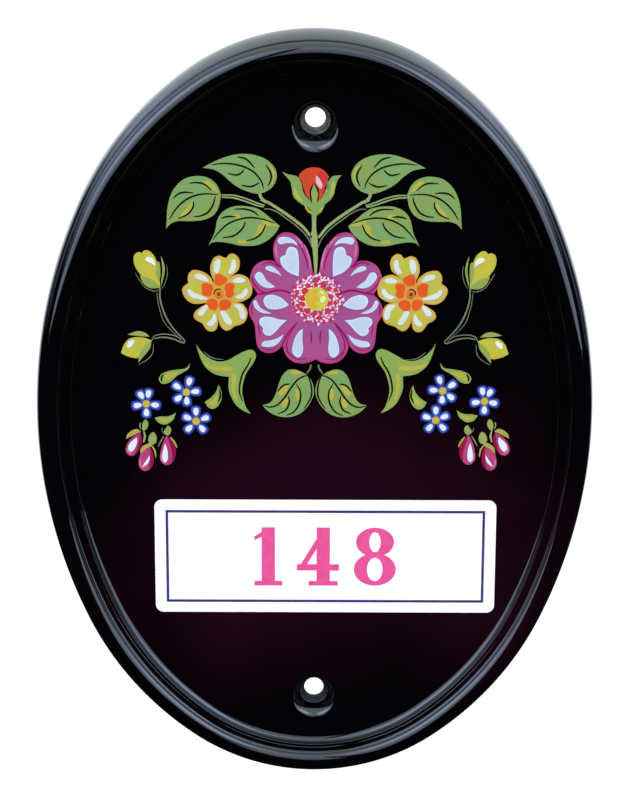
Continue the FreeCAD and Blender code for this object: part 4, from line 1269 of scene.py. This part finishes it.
def window_wall():
    """Three tall panes close in front. Only the gloss shows them."""
    corners = []
    for left, right, left_foot, right_foot in window_panes:
        for x, z in ((left, left_foot), (right, right_foot), (right, window_top), (left, window_top)):
            corners.append((x, window_front, z))
    window = sheet("window", corners, window_light())
    window.visible_camera = window.visible_diffuse = window.visible_shadow = False


def studio_world():
    """White where the camera looks past the plaque, and a lit strip of wall behind it in the gloss."""
    world = bpy.data.worlds.new("studio")
    bpy.context.scene.world = world
    world.use_nodes = True
    tree = world.node_tree
    tree.nodes.clear()
    place = add_node(tree, "ShaderNodeTexCoord").outputs["Generated"]
    split = add_node(tree, "ShaderNodeSeparateXYZ", {"Vector": place}).outputs
    strip = maths(tree, "MULTIPLY", ranged(tree, split["Y"], -0.74, -0.44, kind="SMOOTHSTEP"),
                  ranged(tree, split["Z"], -0.02, 0.26, kind="SMOOTHSTEP"))
    lit = maths(tree, "MAXIMUM", ranged(tree, split["Y"], 0.84, 0.93), strip)
    # Bluer to either side, as the real rim's lower corners are.
    aside = ranged(tree, maths(tree, "ABSOLUTE", split["X"]), 0.25, 0.75, kind="SMOOTHSTEP")
    sky = mixed(tree, aside, (1.84, 2.06, 2.16, 1), (1.6, 1.9, 2.8, 1))
    around = add_node(tree, "ShaderNodeBackground", {
        "Color": mixed(tree, lit, (0.012, 0.009, 0.014, 1), sky),
        "Strength": ranged(tree, split["Y"], 0.2, 0.97, 1.0, 0.6)}).outputs["Background"]
    white = add_node(tree, "ShaderNodeBackground", {"Color": (1, 1, 1, 1)}).outputs["Background"]
    add_node(tree, "ShaderNodeOutputWorld", {"Surface": for_camera(tree, 1.0, around, white)})


def pale_floor():
    material, tree, shader = new_material("pale_floor", {
        "Base Color": (0.8, 0.8, 0.8, 1), "Roughness": 0.9})
    glow = add_node(tree, "ShaderNodeEmission", {"Strength": 1.1}).outputs["Emission"]
    tree.links.new(for_camera(tree, 0.94, shader.outputs["BSDF"], glow),
                   tree.nodes["Material Output"].inputs["Surface"])
    level = -half_height * MM - floor_drop
    floor = sheet("pale_floor", [(-floor_side, -floor_front, level), (floor_side, -floor_front, level),
                                 (floor_side, floor_back, level), (-floor_side, floor_back, level)], material)
    floor.visible_glossy = False


def camera():
    elevation, azimuth, roll = radians(camera_elevation), radians(camera_azimuth), radians(camera_roll)
    back = Vector((sin(azimuth) * cos(elevation), -cos(azimuth) * cos(elevation), sin(elevation)))
    right = (-back).cross(Vector((0, 0, 1))).normalized()
    up = right.cross(-back)
    turned_right = right * cos(roll) + up * sin(roll)
    turned_up = up * cos(roll) - right * sin(roll)
    data = bpy.data.cameras.new("camera")
    data.sensor_width = sensor_size
    data.lens = camera_scale * camera_distance * sensor_size / photo_height
    data.shift_x = -middle_right / photo_height
    data.shift_y = middle_down / photo_height
    shot = placed("camera", data)
    turn = Matrix((turned_right, turned_up, back)).transposed().to_4x4()
    shot.matrix_world = Matrix.Translation(back * camera_distance) @ turn
    bpy.context.scene.camera = shot


bpy.context.scene.view_settings.view_transform = "Standard"
camera()
pale_floor()
studio_world()
window_wall()
soft_box("fill", (0.0, -1.6, 1.0), 2.6, 1.6, 4.2)

stamping = stamp_tree()
ceramic_plaque(sweep_tree(), black_glaze(), dull_clay("bare_clay", (46, 43, 39), (80, 76, 67)),
               dull_clay("stained_clay", (4, 3, 5), (13, 11, 15)))
inks = ink_set()
green_print(inks)
magenta_print(inks)
yellow_print(inks, stamping)
orange_print(inks)
blue_print(inks, stamping)
red_print(inks, stamping)
white_print(inks, stamping)
panel()

bpy.context.view_layer.update()
